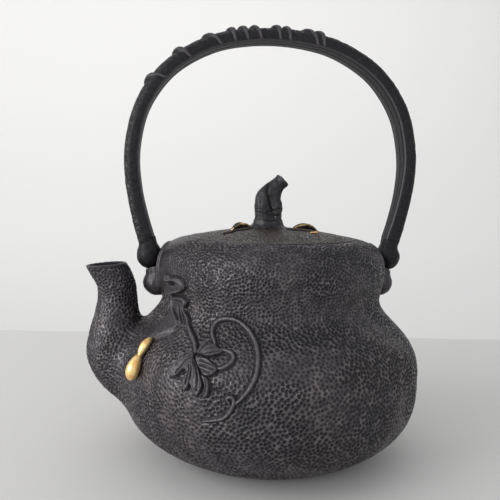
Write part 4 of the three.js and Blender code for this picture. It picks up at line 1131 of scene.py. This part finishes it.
def build_lid():
    flange_in = FLANGE_OUT - FLANGE_WALL
    top = [(r, lid_height(r)) for r in np.linspace(0, LID_RADIUS - 0.5, 30)]
    rim = [(LID_RADIUS - 0.1, LID_RIM_TOP - 0.25), (LID_RADIUS, LID_RIM_TOP - 0.7), (LID_RADIUS, LID_UNDERSIDE)]
    flange_end = LID_UNDERSIDE - FLANGE_DEPTH
    flange = [(FLANGE_OUT, LID_UNDERSIDE), (FLANGE_OUT, flange_end), (flange_in, flange_end)]
    under = [(r, lid_height(r) - LID_THICKNESS) for r in np.linspace(flange_in, 0, 16)]
    lid = Turned(top + rim + flange + under, step=0.3, margin=4)
    points, quads = mesh_field(lid, (-50, -50, 111), (50, 50, 133), LID_VOXEL)
    points = settle(points, lid, 0.4 * LID_VOXEL)
    x, y, z = points.T
    radius = np.hypot(x, y)
    upper = z > lid_height(radius) - 0.6
    plain = 1 - smoothstep(12.5, 16, np.hypot(x + 2, y)) + smoothstep(46.6, 47.8, radius) + (~upper)
    plain = np.clip(plain, 0, 1)
    fit = points[plain < 0.8]
    centres, across = scatter(fit, np.full(len(fit), PIT_SPACING_LID), LID_SCATTER)
    pit = np.zeros(len(points))
    depth = np.ones(len(points))
    pit[upper], depth[upper] = pits_at(points[upper], centres, across, LID_PITS)
    pit *= 1 - plain
    bead = bell(radius - LID_RADIUS, -0.6, 0.45)
    bumps = LID_BUMP * (drift(points, BUMP_SIZE, LID_BUMPS) - 0.5)
    # The rim's bead is painted pale, partly worn and partly painted highlight; the side below the rim, in the
    # seam, gets painted shade.
    side = (radius > LID_RADIUS - 0.25) & (z < LID_RIM_TOP - 0.2)
    marks = {"pit": pit * np.minimum(depth, 1) + 0.3 * plain, "wear_and_highlight": 0.9 * bead * upper, "crevice_shade": side}
    points[:, 2] += (bumps + 0.4 * bead) * upper - LID_PIT_DEPTH * depth * pit
    new_piece("pitted_lid", points, quads, "lid", LID_IRON, "lid", marks)


def build_knob():
    """A cut stem with a sepal that hugs its left side, on a flared foot."""
    stem_line, sepal_line = smooth_path(KNOB_STEM, 4), smooth_path(KNOB_SEPAL, 4)
    cut_x, cut_z = math.sin(KNOB_CUT_TILT), math.cos(KNOB_CUT_TILT)

    def past_cut(x, z):
        return (x - KNOB_CUT_X) * cut_x + (z - KNOB_CUT_HEIGHT) * cut_z

    def from_fold(x, z):
        off, _ = path_distance(np.stack([x.ravel(), z.ravel()], 1), KNOB_FOLD)
        return off.reshape(x.shape)

    def field(x, y, z):
        stem = smooth_max(chain_field(x, y, z, stem_line), past_cut(x, z), 0.7)
        both = smooth_min(stem, chain_field(x, y * 0.92, z, sepal_line), 2.2)
        both += 0.9 * bell(from_fold(x, z), 0, 0.6) * smoothstep(1, -2, y)
        turn = np.arctan2(y, x + 2.4)
        rise = z - LID_TOP
        foot_radius = 7.7 + 4.4 * np.exp(-np.maximum(rise, -1) / 1.5) + 0.3 * np.cos(7 * turn)
        foot = np.maximum((np.hypot(x + 2.7, y * 1.06) - foot_radius) * 0.75, rise - 4)
        both = smooth_min(both, foot, 2.4)
        lines = 0.05 * np.cos(13 * turn + 0.25 * z) * smoothstep(134, 138, z)
        low_wrinkle = bell(z - 138.9 - 1.1 * np.sin(2 * turn + 0.6), 0, 0.45)
        high_wrinkle = bell(z - 140.8 + 0.9 * np.sin(3 * turn), 0, 0.4)
        wrinkles = 0.35 * (low_wrinkle + 0.7 * high_wrinkle)
        return np.maximum(both + lines + wrinkles, LID_TOP - 0.5 - z)

    points, quads = mesh_field(field, (-18, -14, 130), (14, 14, 166), KNOB_VOXEL)
    x, y, z = points.T
    # The cut end's rim is marked worn and lit with painted highlight, and the fold under the sepal gets painted
    # shade.
    fold = bell(from_fold(x, z), 0, 0.7) * (y < 0)
    marks = {"wear_and_highlight": 0.6 * bell(past_cut(x, z), -0.7, 0.5), "crevice_shade": fold}
    waves = 0.3 * (drift(points, 2.2, KNOB_WAVES) - 0.5) + 0.12 * (drift(points, 0.8, KNOB_GRIT) - 0.5)
    points += slope_of(field, points, 0.3) * waves[:, None]
    new_piece("stem_knob", points, quads, "lid", KNOB_IRON, "lid_knob", marks)


def handle_path():
    """Places along the handle's centre line at equal steps, with its direction and outward direction."""
    leg = [(BULB_OUT * out, PIVOT_HEIGHT + CROWN_RISE * up) for out, up in HANDLE_LINE]
    line = [(-x, z) for x, z in leg] + [(0, PIVOT_HEIGHT + CROWN_RISE)] + leg[::-1]
    fine = smooth_path(line, 40)
    travelled = np.concatenate([[0], np.cumsum(np.linalg.norm(np.diff(fine, axis=0), axis=1))])
    at = np.linspace(0, travelled[-1], int(travelled[-1] / HANDLE_STEP) + 1)
    x, z = np.interp(at, travelled, fine[:, 0]), np.interp(at, travelled, fine[:, 1])
    level = np.zeros_like(x)
    along = unit(np.stack([np.gradient(x), level, np.gradient(z)], 1))
    outward = np.stack([-along[:, 2], level, along[:, 0]], 1)
    return at, np.stack([x, level, z], 1), along, outward


def leg_share(at, length):
    return 1 - np.abs(2 * at / length - 1)


def handle_section(turn, share):
    """Across and outward distance of the section at an angle round it: flat inside, rounded outside."""
    half_width = HANDLE_WIDTH / 2 * np.interp(share, HANDLE_SHARES, HANDLE_WIDTHS)
    half_depth = HANDLE_DEPTH / 2 * np.interp(share, HANDLE_SHARES, HANDLE_DEPTHS)
    c, s = np.cos(turn), np.sin(turn)
    corner = np.where(s < 0, HANDLE_INNER_CORNER, HANDLE_OUTER_CORNER)
    across = half_width * np.sign(c) * np.abs(c) ** corner
    return across, half_depth * np.sign(s) * np.abs(s) ** corner, half_width


def even_turns(sides):
    """Angles that put the section's points at equal steps round it."""
    turn = np.linspace(0, 2 * np.pi, 6001)
    across, out, _ = handle_section(turn, 0.5)
    travelled = np.concatenate([[0], np.cumsum(np.hypot(np.diff(across), np.diff(out)))])
    return np.interp(np.arange(sides) / sides * travelled[-1], travelled, turn)


def vine_line(at, centre, outward, start, runs):
    """Points of one pass of the vine over the handle, from front lip to back lip."""
    swing = np.linspace(-1, 1, 32)
    place = start - runs * swing
    middle = np.stack([np.interp(place, at, centre[:, i]) for i in range(3)], 1)
    away = np.stack([np.interp(place, at, outward[:, i]) for i in range(3)], 1)
    across, out, _ = handle_section(np.pi / 2 - VINE_REACH * swing, leg_share(place, at[-1]))
    return middle + away * out[:, None] + np.outer(across, (0, 1, 0))


def vines_on_handle(points, place, outside, line):
    """Height, wear with painted highlight, and painted crevice shade of the vine's passes over the handle."""
    height, wear_and_highlight, crevice_shade = np.zeros((3, len(points)))
    for number, (start, runs) in enumerate(VINE_PASSES):
        near = np.flatnonzero((np.abs(place - start) < runs + 6) & outside)
        d, share = path_distance(points[near], vine_line(*line, start, runs))
        swing = np.abs(2 * share - 1)
        r = 0.75 + 1.75 * (1 - smoothstep(0.1, 0.85, swing)) * (1 + 0.12 * math.sin(2.3 * number))
        rise = (0.5 + 0.3 * (1 - swing)) * np.sqrt(np.maximum(r ** 2 - d ** 2, 0))
        rise = rise * (1 - smoothstep(0.9, 1, swing))
        groove = 0.22 * bell(d - r, 0.3, 0.35)
        height[near] = np.where(rise > height[near], rise, height[near] - groove * (height[near] < 0.2))
        # Painted highlight along one side of each pass, and painted shade in the groove beside it.
        wear_and_highlight[near] = np.maximum(wear_and_highlight[near], 0.75 * bell(d - 0.35 * r, 0, 0.45))
        crevice_shade[near] = np.maximum(crevice_shade[near], 0.9 * bell(d - r, 0.35, 0.4) * (rise < 0.3))
    return height, wear_and_highlight, crevice_shade


def build_handle():
    """The bail: a rolled section with lips and a seam inside, and the vine wound over its crown."""
    at, centre, _, outward = handle_path()
    turn = even_turns(HANDLE_SIDES)
    across, out, half_width = handle_section(turn[None, :], leg_share(at, at[-1])[:, None])
    inside = np.sin(turn)[None, :] < -0.03
    edge = half_width - np.abs(across)
    out = out + inside * (0.8 * smoothstep(0.7, 1.8, edge) - 0.15 * bell(edge, 0.4, 0.4))
    out = out - inside * 0.3 * bell(across, 0, 0.35)
    slope = unit(np.stack([
        np.roll(out, -1, 1) - np.roll(out, 1, 1), np.roll(across, 1, 1) - np.roll(across, -1, 1),
    ], -1))
    sideways = np.array([0, 1, 0])
    points = centre[:, None] + across[..., None] * sideways + out[..., None] * outward[:, None]
    points = points.reshape(-1, 3)
    normal = (slope[..., :1] * sideways + slope[..., 1:] * outward[:, None]).reshape(-1, 3)
    facing = np.sin(np.tile(turn, len(at)))
    line = (at, centre, outward)
    height, wear_and_highlight, crevice_shade = vines_on_handle(points, np.repeat(at, HANDLE_SIDES), facing > -0.35, line)
    # The inner lips get painted highlight and the channel between them painted shade.
    lip = (inside * bell(edge, 0.6, 0.3) * smoothstep(0.05, 0.35, edge)).ravel()
    recess = (inside * smoothstep(0.9, 1.3, edge) * smoothstep(2.4, 1.8, edge)).ravel()
    marks = {
        "wear_and_highlight": np.maximum(wear_and_highlight, 0.8 * lip),
        "crevice_shade": np.maximum(crevice_shade, 0.6 * recess),
        "grit": smoothstep(0.1, 0.9, facing) * (height < 0.2),
    }
    grit = (drift(points, 1, HANDLE_GRIT) - 0.5) * (0.4 + 0.8 * smoothstep(0, 0.7, facing))
    rough = 0.5 * (drift(points, 3.2, HANDLE_WAVES) - 0.5) + grit
    points = points + normal * (height + 0.3 * rough * (facing > -0.5))[:, None]
    faces = tube_faces(len(points), HANDLE_SIDES, flip=True)
    new_piece("vine_handle", points, faces, "handle", HANDLE_IRON, "handle", marks)


def build_handle_end(side, name, node):
    """A bulb that turns on the lug, and flows into the foot of the handle."""
    _, centre, along, outward = handle_path()
    start, tangent, away = centre[0], along[0], outward[0]

    def above_foot(x, z):
        return (-side * x - start[0]) * tangent[0] + (z - start[2]) * tangent[2]

    def field(x, y, z):
        mirrored = -side * x
        across = np.hypot(y, z - PIVOT_HEIGHT)
        bulb = BULB(across, 0, -mirrored - BULB_OUT)
        t = above_foot(x, z)
        d = (mirrored - start[0]) * away[0] + (z - start[2]) * away[2]
        size = 1 - 0.08 * smoothstep(0, -6, t)
        round_foot = (np.abs(y / FOOT_HALF_WIDTH) ** 2.6 + np.abs(d / FOOT_HALF_DEPTH) ** 2.6) ** (1 / 2.6)
        collar = smooth_max((round_foot - size) * FOOT_HALF_DEPTH, np.maximum(t - 0.1, -10 - t), 0.4)
        past_pin = FAR * (PIN_OUTER_END + 0.6 < -mirrored)
        return np.maximum(smooth_min(bulb, collar, 1.8), PIN_RADIUS + 0.1 - across - past_pin)

    near_x, far_x = sorted((side * 60, side * 83))
    points, quads = mesh_field(field, (near_x, -10, 105), (far_x, 10, 127), BULB_VOXEL)
    points += slope_of(field, points, 0.3) * (BULB_BUMP * (drift(points, 2.6, BULB_WAVES) - 0.5))[:, None]
    zeros = np.zeros(len(points))
    # Painted shade at the step where the collar meets the bulb.
    step = 0.25 * bell(above_foot(points[:, 0], points[:, 2]), -4.4, 0.9)
    marks = {"wear_and_highlight": zeros, "crevice_shade": step, "grit": zeros}
    new_piece(name, points, quads, "handle", HANDLE_IRON, node, marks)


def build_lid_leaf(name, node, angle, start, length, width):
    """A small lobed leaf, curled up along its sides and gilded on its rim."""
    along = np.linspace(0, 1, 41)[:, None]
    aside = np.linspace(-1, 1, 19)
    off = np.abs(aside)
    arch = np.sin(np.pi * along)
    spread = np.sin(np.pi * (0.06 + 0.9 * along)) ** 0.75 * (1 + 0.16 * np.cos(6 * np.pi * along))
    out = start + length * along + 0.8 * off * arch
    side = 0.5 * width * spread * aside
    vein = 0.25 * bell(aside, 0, 0.12) + 0.14 * np.cos(18 * (along - 0.35 * off))
    rolled = 0.75 * off ** 2.2 * np.sin(np.pi * np.minimum(1, along + 0.08))
    a = math.radians(angle)
    x, y = out * math.cos(a) - side * math.sin(a), out * math.sin(a) + side * math.cos(a)
    z = lid_height(np.hypot(x, y)) + 0.35 + LEAF_CURL * (0.25 * arch + rolled) - 0.5 * vein
    top = np.stack([x, y, z], -1).reshape(-1, 3)
    gild = (0.75 * off ** 3 + 0.25 * (along > 0.85)).ravel()
    index = np.arange(len(top)).reshape(x.shape)
    upper = np.stack([index[:-1, :-1], index[1:, :-1], index[1:, 1:], index[:-1, 1:]], -1).reshape(-1, 4)
    rim = np.concatenate([index[0, :-1], index[:-1, -1], index[-1, :0:-1], index[:0:-1, 0]])
    beside = np.roll(rim, -1)
    edge = np.stack([rim, beside, beside + len(top), rim + len(top)], 1)
    lower = upper[:, [0, 3, 2, 1]] + len(top)
    faces = np.concatenate([upper, lower, edge])
    points = np.vstack([top, top - (0, 0, LEAF_THICKNESS)])
    marks = {"gild": np.tile(gild, 2)}
    new_piece(name, points, faces, "lid", WORN_GILT, node, marks)


def build_lid_tendril(name, node, places, gilt_end):
    """A tendril that lies on the lid through places of x and y."""
    path = smooth_path(places, 10)
    height = lid_height(np.hypot(path[:, 0], path[:, 1])) + 0.45 * LID_TENDRIL_RADIUS
    line = np.column_stack([path, height])
    last = len(line) - 1
    t = np.arange(last + 1) / last
    tangent = unit(np.vstack([line[1:], line[-1:]]) - np.vstack([line[:1], line[:-1]]))
    side = unit(np.cross((0, 0, 1), tangent))
    up = np.cross(tangent, side)
    radius = LID_TENDRIL_RADIUS * (1 - 0.45 * t)
    radius[[0, last]] *= 0.35
    a = 2 * np.pi * np.arange(TENDRIL_SIDES) / TENDRIL_SIDES
    ring = side[:, None] * np.cos(a)[:, None] + up[:, None] * np.sin(a)[:, None]
    points = (line[:, None] + radius[:, None, None] * ring).reshape(-1, 3)
    marks = {"gild": np.repeat(0.2 + gilt_end * smoothstep(0.45, 0.8, t), TENDRIL_SIDES)}
    faces = tube_faces(len(points), TENDRIL_SIDES, flip=True)
    new_piece(name, points, faces, "lid", WORN_GILT, node, marks)


def build_turned(name, node, body, outline, along_x=None):
    """A small turned piece about the lid's axis, or about the pivot's axis at a side."""
    ring = np.array(outline, float)
    a = 2 * np.pi * np.arange(FASTENER_SIDES) / FASTENER_SIDES
    radius, along = ring[:, :1], np.repeat(ring[:, 1:], FASTENER_SIDES, 1)
    points = np.stack([radius * np.cos(a), radius * np.sin(a), along], -1).reshape(-1, 3)
    if along_x:
        points = np.stack([along_x * points[:, 2], points[:, 0], points[:, 1] + PIVOT_HEIGHT], 1)
    faces = tube_faces(len(points), FASTENER_SIDES, flip=along_x == -1)
    zeros = np.zeros(len(points))
    marks = {"wear_and_highlight": zeros, "crevice_shade": zeros}
    new_piece(name, points, faces, body, PLAIN_IRON, node, marks)


def build_fasteners():
    washer_top = LID_TOP - LID_THICKNESS - GAP
    washer_low = washer_top - 1.2
    build_turned("riveted_washer", "knob_washer", "lid", [
        (2.4, washer_low), (6.2, washer_low), (6.5, washer_top - 0.9), (6.5, washer_top - 0.5),
        (6.1, washer_top - 0.2), (2.4, washer_top),
    ])
    head = washer_low - GAP
    build_turned("peened_rivet", "knob_rivet", "lid", [
        (0.3, head - 2), (1.6, head - 1.92), (2.9, head - 1.55), (3.9, head - 0.9), (4.4, head - 0.3),
        (4.3, head), (2, head), (2, LID_TOP + 11.5), (0.5, LID_TOP + 12),
    ])
    pin = [
        (0.5, PIN_INNER_END + GAP), (2.1, PIN_INNER_END + GAP), (PIN_RADIUS, PIN_INNER_END + 0.7),
        (PIN_RADIUS, PIN_OUTER_END - 0.7), (2.1, PIN_OUTER_END - GAP), (0.5, PIN_OUTER_END - GAP),
    ]
    for side, end in ((-1, "spout_side"), (1, "back_side")):
        build_turned(f"turning_pin_{end}", f"pivot_pin_{end}", "handle", pin, side)


build_body()
build_gourd()
build_lid()
build_knob()
build_handle()
build_handle_end(-1, "bulb_spout_side", "handle_end_spout_side")
build_handle_end(1, "bulb_back_side", "handle_end_back_side")
build_lid_leaf("curled_leaf_left", "lid_leaf_left", *LEFT_LEAF)
build_lid_leaf("curled_leaf_right", "lid_leaf_right", *RIGHT_LEAF)
build_lid_tendril("gilt_tendril_left", "lid_tendril_left", LEFT_TENDRIL, 0.1)
build_lid_tendril("gilt_tendril_right", "lid_tendril_right", RIGHT_TENDRIL, 0.7)
build_fasteners()


# Stage, light and camera.
def flat_sheet(name, corners, colour, roughness):
    mesh = bpy.data.meshes.new(name)
    mesh.from_pydata(corners, [], [(0, 1, 2, 3)])
    look = Look(name)
    look.surface(base_color=colour, roughness=roughness)
    mesh.materials.append(look.material)
    sheet = bpy.data.objects.new(name, mesh)
    bpy.context.scene.collection.objects.link(sheet)


def soft_light(name, place, target, size, power, colour=(1, 1, 1)):
    lamp = bpy.data.lights.new(name, "AREA")
    lamp.shape = "RECTANGLE"
    lamp.size, lamp.size_y = size
    lamp.energy = power
    lamp.color = colour
    light = bpy.data.objects.new(name, lamp)
    light.location = place
    light.rotation_euler = (Vector(target) - Vector(place)).to_track_quat("-Z", "Y").to_euler()
    bpy.context.scene.collection.objects.link(light)


def pale_world():
    world = bpy.data.worlds.new("pale_room")
    world.use_nodes = True
    background = world.node_tree.nodes["Background"].inputs
    background["Color"].default_value = (0.9, 0.91, 0.93, 1)
    background["Strength"].default_value = 0.68
    bpy.context.scene.world = world


FLOOR_BACK, FLOOR_SLANT, WALL_BACK = 0.283, -0.36, 1.6
MIDDLE = (0, 0, 0.08)
DAYLIGHT = (0.99, 0.99, 1)
flat_sheet("floor", [
    (-3, -3, 0), (3, -3, 0), (3, FLOOR_BACK + FLOOR_SLANT, 0), (-3, FLOOR_BACK - FLOOR_SLANT, 0),
], (0.65, 0.642, 0.63), 0.65)
flat_sheet("backdrop", [
    (-4, WALL_BACK, -2), (4, WALL_BACK, -2), (4, WALL_BACK, 3), (-4, WALL_BACK, 3),
], (0.88, 0.87, 0.85), 0.9)
pale_world()
soft_light("window", (-1.25, -0.45, 0.65), MIDDLE, (1.0, 1.0), 10, DAYLIGHT)
soft_light("low_window", (-1.3, -0.78, 0.22), MIDDLE, (0.45, 0.5), 6.5, DAYLIGHT)
soft_light("side_window", (0.74, -1.28, 0.2), MIDDLE, (0.3, 0.3), 0.7)
soft_light("front", (-0.2, -1.1, 0.6), (0, 0, 0), (1.4, 0.3), 1.7)
soft_light("room", (-0.1, 0.1, 1.6), (0, 0, 0.1), (1.6, 1.6), 2)
soft_light("wall_wash", (-0.1, 0.75, 0.95), (-0.1, WALL_BACK, 0.25), (2.4, 0.4), 3.6)


def place_camera():
    """A camera that looks 5.3 degrees down from 9 degrees left of the kettle's front, leaning 1.1 degrees."""
    distance, height, azimuth = 352, 150.1, math.radians(-9)
    pitch, lean = 0.0925, 0.0199
    focal, axis_x, image_width, sensor_width = 600, 271.4, 500, 36
    aside = math.atan((axis_x - image_width / 2) / focal * math.cos(pitch))
    ahead = np.array([-math.sin(azimuth), math.cos(azimuth), 0])
    right = np.array([math.cos(azimuth), math.sin(azimuth), 0])
    level = math.cos(aside) * ahead - math.sin(aside) * right
    right = math.cos(aside) * right + math.sin(aside) * ahead
    forward = math.cos(pitch) * level - math.sin(pitch) * np.array([0, 0, 1])
    up = np.cross(right, forward)
    right, up = math.cos(lean) * right + math.sin(lean) * up, math.cos(lean) * up - math.sin(lean) * right
    lens = bpy.data.cameras.new("camera")
    lens.sensor_width = sensor_width
    lens.lens = focal / image_width * sensor_width
    camera = bpy.data.objects.new("camera", lens)
    turn = Matrix([right, up, -forward]).transposed().to_4x4()
    place = (math.sin(azimuth) * distance * MM, -math.cos(azimuth) * distance * MM, height * MM)
    camera.matrix_world = Matrix.Translation(place) @ turn
    bpy.context.scene.collection.objects.link(camera)
    bpy.context.scene.camera = camera


place_camera()
bpy.context.scene.view_settings.view_transform = "Standard"
